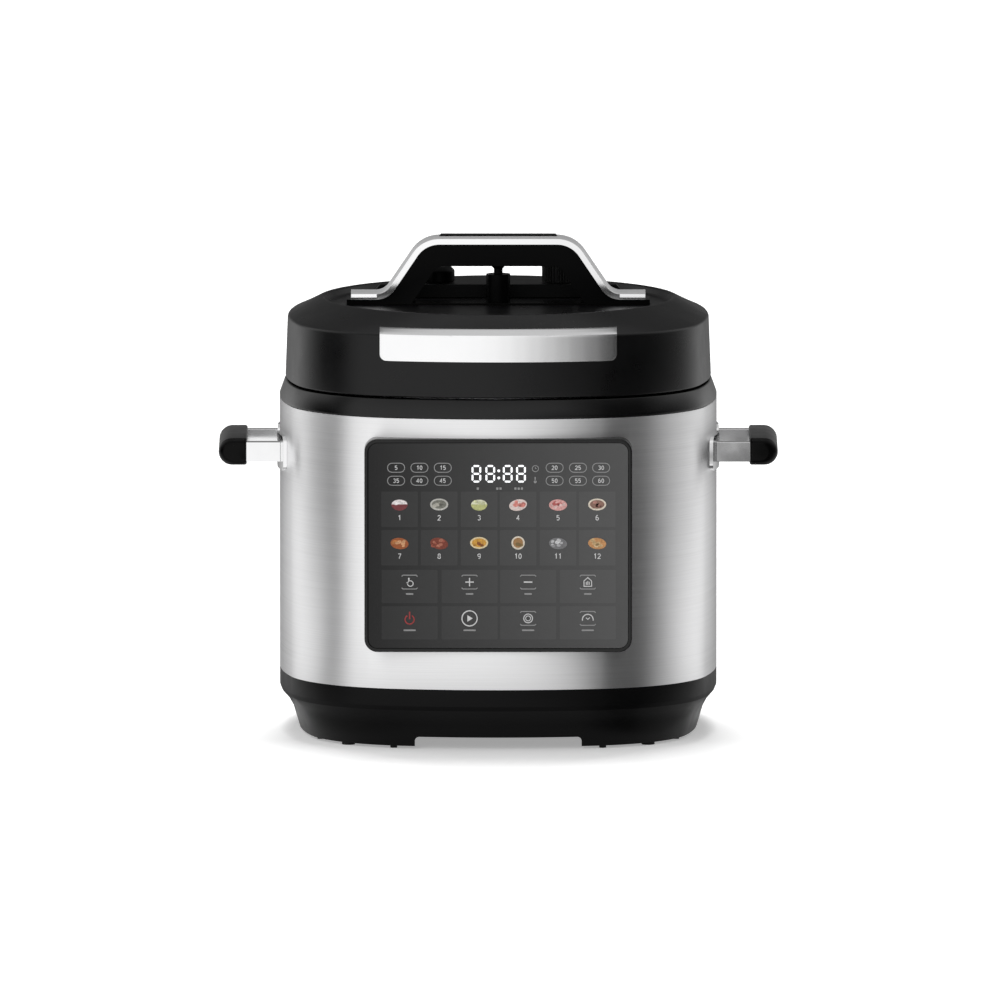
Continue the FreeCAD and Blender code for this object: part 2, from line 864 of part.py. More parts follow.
# Control panel: heights and depths used by the sleeve's window and the panel's own pieces
panel_front = -(d.body_half + d.panel_stand)
panel_high = collar_z - d.panel_head
panel_low = panel_high - d.panel_height
tub_back = panel_front + d.tub_depth
tub_x = d.panel_half - d.tub_border
tub_low = panel_low + d.tub_border
tub_high = panel_high - d.tub_border
inlet_z = steel_z + d.inlet_height
inlet_back = d.body_half + d.panel_stand

# Steel sleeve
sleeve_solid = plan_prism("sleeve_solid", ZERO, steel_z, collar_z)
sleeve_hollow = plan_prism("sleeve_hollow", d.steel_thickness, steel_z - OVER, collar_z + OVER)
panel_window = box("panel_window", (-tub_x - d.tub_gap, tub_x + d.tub_gap), (-d.body_half * 2, ZERO),
                   (tub_low - d.tub_gap, tub_high + d.tub_gap))
inlet_window = box("inlet_window", (-d.inlet_body_half - d.tub_gap, d.inlet_body_half + d.tub_gap),
                   (ZERO, d.body_half * 2),
                   (inlet_z - d.inlet_body_tall - d.tub_gap, inlet_z + d.inlet_body_tall + d.tub_gap))
bolt_holes = group("bolt_holes", [
    cylinder_x("bolt_hole%d" % i, d.bolt_shank + d.bolt_gap, -d.body_half - OVER, d.body_half + OVER,
               d.bar_place * sign, d.side_handle_z) for i, sign in enumerate((-1, 1))])
piece("steel_body", cut("steel_body", sleeve_solid, sleeve_hollow, panel_window, inlet_window,
                        bolt_holes))

# Collar between sleeve and lid
collar_outer = loft("collar_outer", [
    plan_sketch("collar_low", ZERO, collar_z),
    plan_sketch("collar_lip", ZERO, collar_lip_z),
    plan_sketch("collar_top", d.collar_bevel_inset, collar_top_z),
])
collar_lap = plan_prism("collar_lap", lap_inset, collar_z - d.lap_height, collar_lip_z)
collar_under = plan_prism("collar_under", lap_inset + d.lap_thickness, collar_z - d.lap_height - OVER,
                          well_z - d.collar_ledge_thickness)
piece("top_collar", cut("top_collar", fuse("collar_block", collar_outer, collar_lap), collar_under,
                        cylinder("collar_well", well_radius, well_z, collar_top_z + OVER),
                        cylinder("collar_bore", shell_outer + d.collar_bore_gap, collar_z - OVER,
                                 collar_top_z)))

# Outer pot: cup with a bead that sits on the collar and a bayonet flange of lugs
outer_pot_hole = d.sensor_radius + d.outer_pot_hole_gap
bead_radius = shell_outer + d.bead_width
bead_top_z = well_z + d.bead_height
outer_pot = turned("outer_pot", [
    (outer_pot_hole, pot_floor_z),
    (shell_outer, pot_floor_z),
    (shell_outer, well_z),
    (bead_radius, well_z),
    (bead_radius, bead_top_z),
    (shell_outer, bead_top_z),
    (shell_outer, flange_low_z),
    (flange_radius, flange_low_z),
    (flange_radius, flange_top_z),
    (shell_inner, flange_top_z),
    (shell_inner, pot_floor_top_z),
    (outer_pot_hole, pot_floor_top_z),
])
add_lugs(outer_pot, "outer_pot", flange_radius - OVER, lug_radius, flange_low_z, flange_top_z)
outer_pot.setExpression("Placement.Rotation.Angle", "180 deg / Dims.lug_count")
terminal_x = (d.groove_radius * d.groove_radius - d.terminal_spread * d.terminal_spread).root()
terminal_spots = [(terminal_x, d.terminal_spread), (terminal_x, -d.terminal_spread)]
terminal_holes = group("terminal_holes", [
    cylinder("terminal_hole%d" % i, d.terminal_radius + d.terminal_gap, pot_floor_z - OVER,
             pot_floor_top_z + OVER, x, y) for i, (x, y) in enumerate(terminal_spots)])
piece("outer_pot", cut("outer_pot", outer_pot, terminal_holes))

# Heat shield hung under the collar
shield_top = well_z - d.collar_ledge_thickness
piece("heat_shield", turned("heat_shield", [
    (shield_radius, pot_floor_z + d.shield_foot),
    (shield_radius + d.shield_thickness, pot_floor_z + d.shield_foot),
    (shield_radius + d.shield_thickness, shield_top),
    (shield_radius, shield_top),
]))

# Heating plate with the groove of its element
heater_hole = d.sensor_radius + d.sensor_hole_gap
groove_top = pot_floor_top_z + d.groove_depth
piece("heating_plate", turned("heating_plate", [
    (heater_hole, pot_floor_top_z),
    (d.groove_radius - d.groove_half, pot_floor_top_z),
    (d.groove_radius - d.groove_half, groove_top),
    (d.groove_radius + d.groove_half, groove_top),
    (d.groove_radius + d.groove_half, pot_floor_top_z),
    (shell_inner - d.heater_edge, pot_floor_top_z),
    (shell_inner - d.heater_edge, heater_top_z),
    (heater_hole, heater_top_z),
]))

# Heating element: ring in the groove with two terminals through the pot's floor
element_ring = doc.addObject("Part::Torus", "element_ring")
bind(element_ring, "Radius1", d.groove_radius)
bind(element_ring, "Radius2", d.element_radius)
place(element_ring, z=pot_floor_top_z + d.element_lift)
terminals = [
    cylinder("terminal%d" % i, d.terminal_radius, pot_floor_top_z + d.element_lift - d.terminal_length,
             pot_floor_top_z + d.element_lift, x, y) for i, (x, y) in enumerate(terminal_spots)]
piece("heating_element", fuse("heating_element", element_ring, *terminals))

# Sprung temperature sensor in its holder under the pot
sensor_low = heater_top_z - d.sensor_height
sensor_seat = d.sensor_radius + d.sensor_flange
holder_inner = sensor_seat + d.holder_gap
holder_outer = holder_inner + d.holder_wall
holder_low = pot_floor_z - d.holder_depth
piece("temperature_sensor", turned("temperature_sensor", [
    (ZERO, heater_top_z - d.sensor_wall),
    (d.sensor_radius - d.sensor_wall, heater_top_z - d.sensor_wall),
    (d.sensor_radius - d.sensor_wall, sensor_low),
    (sensor_seat, sensor_low),
    (sensor_seat, sensor_low + d.sensor_flange_height),
    (d.sensor_radius, sensor_low + d.sensor_flange_height),
    (d.sensor_radius, heater_top_z),
    (ZERO, heater_top_z),
]))
piece("sensor_holder", turned("sensor_holder", [
    (ZERO, holder_low),
    (holder_outer, holder_low),
    (holder_outer, pot_floor_z),
    (holder_inner, pot_floor_z),
    (holder_inner, holder_low + d.holder_floor),
    (ZERO, holder_low + d.holder_floor),
]))
piece("sensor_spring", coil("sensor_spring", d.sensor_spring_radius, d.sensor_spring_wire,
                            d.sensor_spring_pitch, holder_low + d.holder_floor + d.spring_seat_gap,
                            heater_top_z - d.sensor_wall - d.spring_seat_gap))

# Spring bracket, pressure switch and thermal fuse under the pot's floor
bracket_z = pot_floor_z - d.bracket_drop
bracket_x = d.bracket_length / 2
bracket_strip = box("bracket_strip", (-bracket_x, bracket_x),
                    (d.bracket_place - d.bracket_width / 2, d.bracket_place + d.bracket_width / 2),
                    (bracket_z - d.bracket_thickness, bracket_z))
bracket_spacers = [cylinder("bracket_spacer%d" % i, d.bracket_spacer, bracket_z, pot_floor_z,
                            (bracket_x - d.bracket_inset) * sign, d.bracket_place)
                   for i, sign in enumerate((-1, 1))]
piece("spring_bracket", fuse("spring_bracket", bracket_strip, *bracket_spacers))
switch_top = bracket_z - d.bracket_thickness
piece("pressure_switch", box("pressure_switch", (-d.switch_length / 2, d.switch_length / 2),
                             (d.bracket_place - d.switch_width / 2, d.bracket_place + d.switch_width / 2),
                             (switch_top - d.switch_height, switch_top)))
piece("thermal_fuse", cylinder_x("thermal_fuse", d.fuse_radius, -d.fuse_length / 2, d.fuse_length / 2,
                                 -d.fuse_place, pot_floor_z - d.fuse_radius))

# Inner pot
lip_low_z = flange_top_z
pot_top_z = lip_low_z + d.pot_wall
pot_low_radius = pot_outer - d.pot_corner
pot_fold_radius = pot_outer - d.pot_corner_fold
pot_fold_wall = d.pot_wall / as_size(2).root()
piece("inner_pot", turned("inner_pot", [
    (ZERO, pot_low_z),
    (pot_low_radius, pot_low_z),
    (pot_fold_radius, pot_low_z + d.pot_corner_fold),
    (pot_outer, pot_low_z + d.pot_corner),
    (pot_outer, lip_low_z),
    (flange_radius - OVER, lip_low_z),
    (flange_radius - OVER, pot_top_z),
    (pot_radius, pot_top_z),
    (pot_radius, pot_low_z + d.pot_corner),
    (pot_fold_radius - pot_fold_wall, pot_low_z + d.pot_corner_fold + pot_fold_wall),
    (pot_low_radius, pot_low_z + d.pot_wall),
    (ZERO, pot_low_z + d.pot_wall),
]))

# Control panel pieces
panel_block_box = box("panel_block_box", (-d.panel_half, d.panel_half),
                      (panel_front, -d.body_half / 2), (panel_low, panel_high))
panel_block = round_edges("panel_block", panel_block_box,
                          lambda edge: d.panel_round if lies_along(edge, ALONG_Y) else None)
panel_rim = cut("panel_rim", panel_block, sleeve_solid)
tub_outer = box("tub_outer", (-tub_x, tub_x), (panel_front + d.panel_stand / 2, tub_back),
                (tub_low, tub_high))
tub_inner = box("tub_inner", (-tub_x + d.tub_wall, tub_x - d.tub_wall),
                (panel_front - OVER, tub_back - d.tub_wall),
                (tub_low + d.tub_wall, tub_high - d.tub_wall))
glass_x = d.panel_half - d.panel_border
glass_low = panel_low + d.panel_border
glass_high = panel_high - d.panel_border
glass_round = d.panel_round - d.panel_border


def glass_block(name, back):
    plain = box(name + "_box", (-glass_x, glass_x), (panel_front, back), (glass_low, glass_high))
    return round_edges(name, plain, lambda edge: glass_round if lies_along(edge, ALONG_Y) else None)


glass_back = panel_front + d.glass_thickness
board_back = panel_front + d.control_board_depth + d.board_thickness
standoffs = [cylinder("standoff%d" % i, d.standoff_radius, ZERO, tub_back - board_back)
             for i in range(4)]
for standoff, (sx, high) in zip(standoffs, ((-1, 0), (1, 0), (-1, 1), (1, 1))):
    standoff.Placement.Rotation = FreeCAD.Rotation(ALONG_X, 90)
    edge = tub_high - d.tub_wall - d.standoff_inset if high else tub_low + d.tub_wall + d.standoff_inset
    place(standoff, sx * (tub_x - d.tub_wall - d.standoff_inset), tub_back, edge)
panel_tub = cut("panel_tub", fuse("panel_body", panel_rim, tub_outer), tub_inner,
                glass_block("glass_seat", glass_back))
piece("panel_housing", fuse("panel_housing", panel_tub, *standoffs))
panel_glass = piece("panel_glass", glass_block("panel_glass", glass_back))
board_edge = d.tub_wall + d.control_board_inset
piece("control_board", box("control_board", (-tub_x + board_edge, tub_x - board_edge),
                           (board_back - d.board_thickness, board_back),
                           (tub_low + board_edge, tub_high - board_edge)))
piece("display_module", box("display_module", (-d.display_half, d.display_half),
                            (glass_back + d.display_gap, board_back - d.board_thickness),
                            (panel_low + d.display_low, panel_low + d.display_low + d.display_height)))

# Mains inlet on the back, with its three pins
inlet_flange = cut("inlet_flange", box("inlet_flange_box", (-d.inlet_flange_half, d.inlet_flange_half),
                                       (d.body_half / 2, inlet_back),
                                       (inlet_z - d.inlet_flange_tall, inlet_z + d.inlet_flange_tall)),
                   sleeve_solid)
inlet_floor = inlet_back - d.inlet_mouth_depth
inlet_inner = inlet_back - d.inlet_depth
inlet_body = box("inlet_body", (-d.inlet_body_half, d.inlet_body_half), (inlet_inner, inlet_back),
                 (inlet_z - d.inlet_body_tall, inlet_z + d.inlet_body_tall))
mouth_high = inlet_z + d.inlet_mouth_tall
mouth_low = inlet_z - d.inlet_mouth_tall
mouth = extrude("inlet_mouth", side_sketch("inlet_mouth_outline", [
    (-d.inlet_mouth_half, mouth_low),
    (d.inlet_mouth_half, mouth_low),
    (d.inlet_mouth_half, mouth_high - d.inlet_corner),
    (d.inlet_mouth_half - d.inlet_corner, mouth_high),
    (d.inlet_corner - d.inlet_mouth_half, mouth_high),
    (-d.inlet_mouth_half, mouth_high - d.inlet_corner),
], y=inlet_back + OVER), d.inlet_mouth_depth + OVER)
pins = []
for i, (step, drop) in enumerate(((-1, 0), (1, 0), (0, 1))):
    pin_x = d.pin_spacing * step
    pin_z = inlet_z + d.earth_drop * (drop - 0.5)
    pins.append(box("inlet_pin%d" % i, (pin_x - d.pin_thin, pin_x + d.pin_thin),
                    (inlet_inner - d.pin_tail, inlet_floor + d.pin_reach),
                    (pin_z - d.pin_half, pin_z + d.pin_half)))
inlet_pins = piece("inlet_pins", group("inlet_pins", pins))
piece("power_inlet", cut("power_inlet", fuse("inlet_block", inlet_flange, inlet_body), mouth,
                         inlet_pins))

# Side carrying handles: built on the right, mirrored to the left
ear_skin = cut("ear_skin", plan_prism("ear_outer", -d.ear_thickness, steel_z, collar_z), sleeve_solid)
handle_low = d.side_handle_z - d.bar_height / 2
handle_high = d.side_handle_z + d.bar_height / 2
grip_outer = d.body_half + d.grip_reach
grip_inner = grip_outer - d.grip_thickness
bar_outline = [(d.body_half / 2, -d.bar_thickness / 2), (grip_inner + d.bar_sunk, -d.bar_thickness / 2),
               (grip_inner + d.bar_sunk, d.bar_thickness / 2), (d.body_half / 2, d.bar_thickness / 2)]
bar_wall = plan_prism("bar_wall", -d.ear_thickness, steel_z, collar_z)
grip_low = d.side_handle_z - d.grip_height / 2
grip_high = d.side_handle_z + d.grip_height / 2
grip_block = box("grip_block", (grip_inner, grip_outer), (-d.grip_length / 2, d.grip_length / 2),
                 (grip_low, grip_high))


def grip_edge(edge):
    outer = edge.BoundBox.XMin > grip_outer.value - OVER.value
    along = lies_along(edge, ALONG_Y)
    return d.grip_round if outer and (along or lies_along(edge, ALONG_Z)) else None


right_grip = round_edges("right_grip_round", grip_block, grip_edge)
# The bolt heads seat on the sleeve's curved inner face, just clear at the head's outer edge
sleeve_inner = d.flank_radius - d.steel_thickness
head_edge = d.bar_place + d.bolt_head
bolt_seat = (sleeve_inner * sleeve_inner - head_edge * head_edge).root() - flank_shift - d.bolt_seat_gap
ears = []
bars = []
bolts = []
for i, sign in enumerate((-1, 1)):
    bar_y = d.bar_place * sign
    ear_box = box("ear_box%d" % i, (d.body_half / 2, d.body_half * 2),
                  (bar_y - d.ear_length / 2, bar_y + d.ear_length / 2),
                  (d.side_handle_z - d.ear_height / 2, d.side_handle_z + d.ear_height / 2))
    ear = round_edges("ear_round%d" % i, ear_box,
                      lambda edge: d.ear_round if lies_along(edge, ALONG_X) else None)
    hole = cylinder_x("ear_hole%d" % i, d.bolt_shank + d.bolt_gap, ZERO,
                      d.body_half + d.ear_thickness + d.bolt_bite, bar_y, d.side_handle_z)
    ears.append(cut("ear%d" % i, common("ear_shape%d" % i, ear_skin, ear), hole))
    outline = doc.addObject("Sketcher::SketchObject", "bar_outline%d" % i)
    polygon(outline, [(x, y + bar_y) for x, y in bar_outline])
    place(outline, z=handle_low)
    bars.append(cut("bar%d" % i, extrude("bar_solid%d" % i, outline, d.bar_height), bar_wall, hole))
    bolts.append(fuse("bolt%d" % i,
                      cylinder_x("bolt_head%d" % i, d.bolt_head, bolt_seat - d.bolt_head_height, bolt_seat,
                                 bar_y, d.side_handle_z),
                      cylinder_x("bolt_shank%d" % i, d.bolt_shank, bolt_seat,
                                 d.body_half + d.bolt_bite, bar_y, d.side_handle_z)))
right_bars = piece("right_handle_bars", group("right_handle_bars", bars))
right_plates = piece("right_handle_plates", group("right_handle_plates", ears))
right_grip = piece("right_handle_grip", cut("right_handle_grip", right_grip, right_bars))
right_bolts = group("right_bolts", bolts)
piece("left_handle_bars", mirror_x("left_handle_bars", right_bars))
piece("left_handle_plates", mirror_x("left_handle_plates", right_plates))
piece("left_handle_grip", mirror_x("left_handle_grip", right_grip))
piece("handle_bolts", group("handle_bolts", [right_bolts, mirror_x("left_bolts", right_bolts)]))

# Places on the lid
valve_left = -d.valve_place_x
valve_right = d.valve_place_x


def lid_loft(name, grow, base_z):
    """Outer form of the lid, grown outwards by a thickness."""
    return loft(name, [
        plan_sketch(name + "_edge", d.lid_edge_inset - grow, base_z),
        plan_sketch(name + "_shoulder", d.lid_shoulder_inset - grow, shoulder_z + grow * d.shoulder_share),
        round_sketch(name + "_rim", lid_rim_radius + grow * d.rim_share, lid_top_z + grow),
    ])


lid_outer = lid_loft("lid_outer", ZERO, lid_z)
lid_inner = loft("lid_inner", [
    plan_sketch("lid_inner_edge", d.lid_edge_inset + d.lid_wall, lid_z - OVER),
    plan_sketch("lid_inner_shoulder", d.lid_shoulder_inset + d.lid_wall, shoulder_z - d.lid_wall / 2),
    round_sketch("lid_inner_top", lid_ceiling_radius, ceiling_z),
])
dish = turned("dish", [
    (ZERO, deck_z),
    (lid_rim_radius - d.dish_rim - d.dish_slope, deck_z),
    (lid_rim_radius - d.dish_rim, lid_top_z),
    (lid_rim_radius - d.dish_rim, lid_top_z + OVER),
    (ZERO, lid_top_z + OVER),
])
boss_reach = (pot_radius - d.lid_boss_inset) * d.lid_boss_angle.sine()
boss_spots = four_ways(boss_reach, boss_reach)
lid_bosses = [cylinder("lid_boss%d" % i, d.lid_boss_radius, plate_top_z, ceiling_z + OVER, x, y)
              for i, (x, y) in enumerate(boss_spots)]
handle_screw_spots = [(handle_screw_place * sign, ZERO) for sign in (-1, 1)]
shank_hole = d.screw_shank + d.screw_gap
lid_holes = group("lid_holes", [
    cylinder("lid_boss_hole%d" % i, shank_hole, plate_z - OVER, plate_top_z + d.screw_bite, x, y)
    for i, (x, y) in enumerate(boss_spots)
] + [
    cylinder("lid_handle_hole%d" % i, shank_hole, ceiling_z - OVER, lid_top_z, x, y)
    for i, (x, y) in enumerate(handle_screw_spots)
] + [
    cylinder("lid_rod_hole", d.rod_radius + d.deck_hole_gap, ceiling_z - OVER, lid_top_z),
    cylinder("lid_float_hole", d.float_radius + d.deck_hole_gap, ceiling_z - OVER, lid_top_z,
             valve_left, d.valve_place_y),
    cylinder("lid_pipe_hole", d.pipe_radius + d.deck_hole_gap, ceiling_z - OVER, lid_top_z,
             valve_right, d.valve_place_y),
])
lid_hollow = cut("lid_hollow", lid_outer, lid_inner, dish)
piece("lid_shell", cut("lid_shell", fuse("lid_block", lid_hollow, *lid_bosses), lid_holes))

# Silver plate folded over the lid's front shoulder
badge_skin = cut("badge_skin", lid_loft("badge_outer", d.badge_thickness, lid_z), lid_outer)
badge_box = box("badge_box", (-d.badge_half, d.badge_half), (-d.body_half * 2, -d.body_half / 2),
                (shoulder_z - d.badge_drop, shoulder_z + d.badge_rise))
badge_low = (shoulder_z - d.badge_drop).value
badge_form = round_edges("badge_form", badge_box,
                         lambda edge: d.badge_round if lies_along(edge, ALONG_Y)
                         and edge.BoundBox.ZMax < badge_low + OVER.value else None)
piece("lid_badge", common("lid_badge", badge_skin, badge_form))

# Raised deck behind the handle that carries the two valves
deck_ends = extrude("deck_ends", side_sketch("deck_outline", [
    (-d.deck_half, deck_z),
    (d.deck_half, deck_z),
    (d.deck_half - d.deck_slope, deck_z + d.deck_height),
    (d.deck_slope - d.deck_half, deck_z + d.deck_height),
], y=d.deck_arc), d.deck_arc - d.deck_front)
deck_round = cylinder("deck_round", d.deck_arc, deck_z, deck_z + d.deck_height)
deck_top_z = deck_z + d.deck_height
valve_holes = group("valve_holes", [
    cylinder("deck_float_hole", d.float_radius + d.running_gap, deck_z - OVER, deck_top_z + OVER,
             valve_left, d.valve_place_y),
    cylinder("deck_pipe_hole", d.pipe_radius + d.deck_hole_gap, deck_z - OVER, deck_top_z + OVER,
             valve_right, d.valve_place_y),
])
piece("valve_deck", cut("valve_deck", common("deck_shape", deck_ends, deck_round), valve_holes))

# Steel pressure lid with inward lugs
lug_low_z = flange_low_z - d.lug_gap - d.lid_lug_thickness
pressure_lid = turned("pressure_lid", [
    (d.tube_radius, plate_z),
    (skirt_inner, plate_z),
    (skirt_inner, lug_low_z),
    (skirt_outer, lug_low_z),
    (skirt_outer, plate_top_z),
    (d.tube_radius, plate_top_z),
])
add_lugs(pressure_lid, "pressure_lid", skirt_inner - d.lid_lug_reach, skirt_inner + OVER,
         lug_low_z, lug_low_z + d.lid_lug_thickness)
plate_holes = group("plate_holes", [
    cylinder("plate_boss_hole%d" % i, shank_hole, plate_z - OVER, plate_top_z + OVER, x, y)
    for i, (x, y) in enumerate(boss_spots)
] + [
    cylinder("plate_float_hole", d.float_radius + d.deck_hole_gap, plate_z - OVER, plate_top_z + OVER,
             valve_left, d.valve_place_y),
    cylinder("plate_pipe_hole", d.pipe_radius, plate_z - OVER, plate_top_z + OVER,
             valve_right, d.valve_place_y),
])
piece("pressure_lid", cut("pressure_lid", pressure_lid, plate_holes))
piece("lid_screws", group("lid_screws", [
    screw("lid_screw%d" % i, x, y, plate_z - d.screw_head_height, plate_z, plate_top_z + d.screw_bite - OVER)
    for i, (x, y) in enumerate(boss_spots)]))

# Centre tube: steam way of the release valve and pivot of the inner cover
cover_low_z = plate_z - d.cover_drop - d.cover_plate
bush_low_z = cover_low_z - (d.cover_bush_height - d.cover_plate) / 2
tube_flange_top = bush_low_z - d.tube_flange_gap
tube_low_z = tube_flange_top - d.tube_flange_height
nut_top = plate_top_z + d.nut_height
piece("centre_tube", turned("centre_tube", [
    (d.tube_bore, tube_low_z),
    (d.tube_radius + d.tube_flange, tube_low_z),
    (d.tube_radius + d.tube_flange, tube_flange_top),
    (d.tube_radius, tube_flange_top),
    (d.tube_radius, plate_top_z),
    (d.tube_radius + d.nut_width, plate_top_z),
    (d.tube_radius + d.nut_width, nut_top),
    (d.tube_bore, nut_top),
]))

# Inner cover and its sealing ring
cover_radius = pot_radius - d.seal_outer_gap - d.seal_width + d.seal_grip
cover_high_z = cover_low_z + d.cover_plate
bush_inner = d.tube_radius + d.running_gap
inner_cover = turned("inner_cover", [
    (bush_inner, bush_low_z),
    (bush_inner + d.cover_bush_wall, bush_low_z),
    (bush_inner + d.cover_bush_wall, cover_low_z),
    (cover_radius, cover_low_z),
    (cover_radius, cover_high_z),
    (bush_inner + d.cover_bush_wall, cover_high_z),
    (bush_inner + d.cover_bush_wall, bush_low_z + d.cover_bush_height),
    (bush_inner, bush_low_z + d.cover_bush_height),
])
add_holes(inner_cover, "inner_cover", d.steam_hole, d.steam_hole_place, d.steam_hole_count)
piece("inner_cover", inner_cover)
seal_outer = pot_radius - d.seal_outer_gap
seal_inner = seal_outer - d.seal_width
seal_low = cover_low_z - d.seal_drop
piece("sealing_ring", turned("sealing_ring", [
    (seal_inner, seal_low),
    (seal_outer, seal_low),
    (seal_outer, plate_z - d.seal_head_gap),
    (seal_inner, plate_z - d.seal_head_gap),
    (seal_inner, cover_high_z),
    (cover_radius, cover_high_z),
    (cover_radius, cover_low_z),
    (seal_inner, cover_low_z),
]))

# Lid handle: profile of the strap's underside, then the strap and its core
strap_foot_z = deck_z + d.strap_foot
strap_top_z = strap_foot_z + d.strap_rise
strap_low_z = strap_top_z - d.strap_thickness
leg_run = d.strap_knee - d.strap_top_half
leg_rise = strap_low_z - strap_foot_z
leg_length = (leg_run * leg_run + leg_rise * leg_rise).root()
leg_shift = d.strap_thickness * (leg_length - leg_run) / leg_rise
strap_outline = [
    (-strap_half, strap_foot_z),
    (-d.strap_knee, strap_foot_z),
    (-d.strap_top_half, strap_low_z),
    (d.strap_top_half, strap_low_z),
    (d.strap_knee, strap_foot_z),
    (strap_half, strap_foot_z),
    (strap_half, strap_foot_z + d.strap_thickness),
    (d.strap_knee + leg_shift, strap_foot_z + d.strap_thickness),
    (d.strap_top_half + leg_shift, strap_top_z),
    (-d.strap_top_half - leg_shift, strap_top_z),
    (-d.strap_knee - leg_shift, strap_foot_z + d.strap_thickness),
    (-strap_half, strap_foot_z + d.strap_thickness),
]
strap_bar = extrude("strap_bar", side_sketch("strap_outline", strap_outline), d.strap_depth, True)


def near(edge, x, z):
    """True for an edge along Y through a corner of a side outline, on either side."""
    spot = edge.Vertexes[0].Point
    return lies_along(edge, ALONG_Y) and abs(abs(spot.x) - x.value) < 0.01 and abs(spot.z - z.value) < 0.01


def strap_edge(edge):
    if near(edge, d.strap_top_half, strap_low_z):
        return d.strap_round
    if near(edge, d.strap_top_half + leg_shift, strap_top_z):
        return d.strap_round + d.strap_thickness
    if near(edge, d.strap_knee, strap_foot_z):
        return d.strap_foot_round + d.strap_thickness
    if near(edge, d.strap_knee + leg_shift, strap_foot_z + d.strap_thickness):
        return d.strap_foot_round
    return None


strap = round_edges("strap", strap_bar, strap_edge)
button_slot = box("button_slot", (-d.button_half - d.button_gap, d.button_half + d.button_gap),
                  (-d.button_depth / 2 - d.button_gap, d.button_depth / 2 + d.button_gap),
                  (strap_top_z + d.button_proud - d.button_height - d.button_spare, strap_top_z + OVER))
piece("handle_strap", cut("handle_strap", strap, button_slot))

core_end = strap_half + d.core_end
core_low_z = strap_low_z - d.core_thickness
core_bar = extrude("core_bar", side_sketch("core_outline", [
    (-core_end, deck_z),
    (-d.core_leg_foot, deck_z),
    (-d.core_leg_top, core_low_z),
    (d.core_leg_top, core_low_z),
    (d.core_leg_foot, deck_z),
    (core_end, deck_z),
    (core_end, strap_foot_z),
    (d.strap_knee, strap_foot_z),
    (d.strap_top_half, strap_low_z),
    (-d.strap_top_half, strap_low_z),
    (-d.strap_knee, strap_foot_z),
    (-core_end, strap_foot_z),
]), d.core_depth, True)


def core_edge(edge):
    if near(edge, d.core_leg_top, core_low_z):
        return d.core_round
    if near(edge, d.strap_top_half, strap_low_z):
        return d.strap_round
    if near(edge, d.strap_knee, strap_foot_z):
        return d.strap_foot_round + d.strap_thickness
    return None


core_bent = round_edges("core_bent", core_bar, core_edge)
core_web = box("core_web", (-d.core_leg_foot - OVER, d.core_leg_foot + OVER),
               (-d.core_depth / 2, d.core_depth / 2), (deck_z, deck_z + d.web_thickness))
rod_way = cylinder("rod_way", d.rod_radius + d.post_bore_gap, deck_z - OVER, strap_top_z)
core_holes = group("core_holes", [
    cylinder("core_hole%d" % i, shank_hole, deck_z - OVER, deck_z + d.handle_screw_bite + d.screw_gap, x, y)
    for i, (x, y) in enumerate(handle_screw_spots)])
piece("handle_core", cut("handle_core", fuse("core_block", core_bent, core_web), button_slot, rod_way,
                         core_holes))
piece("handle_screws", group("handle_screws", [
    screw("handle_screw%d" % i, x, y, ceiling_z - d.screw_head_height, ceiling_z,
          deck_z + d.handle_screw_bite) for i, (x, y) in enumerate(handle_screw_spots)]))

# Steam release: button, rod with collar, post, spring and sealing disc
button_top_z = strap_top_z + d.button_proud
button_low_z = button_top_z - d.button_height
piece("release_button", box("release_button", (-d.button_half, d.button_half),
                            (-d.button_depth / 2, d.button_depth / 2), (button_low_z, button_top_z)))
rod_low_z = tube_low_z - d.seal_disc_gap - d.seal_disc_height
collar_high = core_low_z - d.rod_collar_gap
collar_low = collar_high - d.rod_collar_height
piece("push_rod", turned("push_rod", [
    (ZERO, rod_low_z),
    (d.rod_radius, rod_low_z),
    (d.rod_radius, collar_low),
    (d.rod_collar, collar_high),
    (d.rod_radius, collar_high),
    (d.rod_radius, button_low_z),
    (ZERO, button_low_z),
]))
post_top = collar_low - d.button_stroke - d.post_clear
post_low = deck_z + d.web_thickness
post_solid = turned("post_solid", [
    (d.rod_radius + d.post_bore_gap, post_low),
    (d.post_outer, post_low),
    (d.post_outer, post_top),
    (d.rod_radius + d.post_bore_gap, post_top),
])
post_slot = box("post_slot", (-d.post_outer * 2, d.post_outer * 2), (-d.post_cut / 2, d.post_cut / 2),
                (post_low + d.post_outer, post_top - d.post_cut))
piece("release_post", cut("release_post", post_solid, post_slot))
spring_low = button_low_z - d.button_spare
piece("button_spring", coil("button_spring", d.button_spring_radius, d.button_spring_wire,
                            d.button_spring_pitch, spring_low + d.spring_seat_gap,
                            button_low_z - d.spring_seat_gap))
piece("release_seal", turned("release_seal", [
    (d.rod_radius, rod_low_z),
    (d.seal_disc, rod_low_z),
    (d.seal_disc, rod_low_z + d.seal_disc_height),
    (d.rod_radius, rod_low_z + d.seal_disc_height),
]))

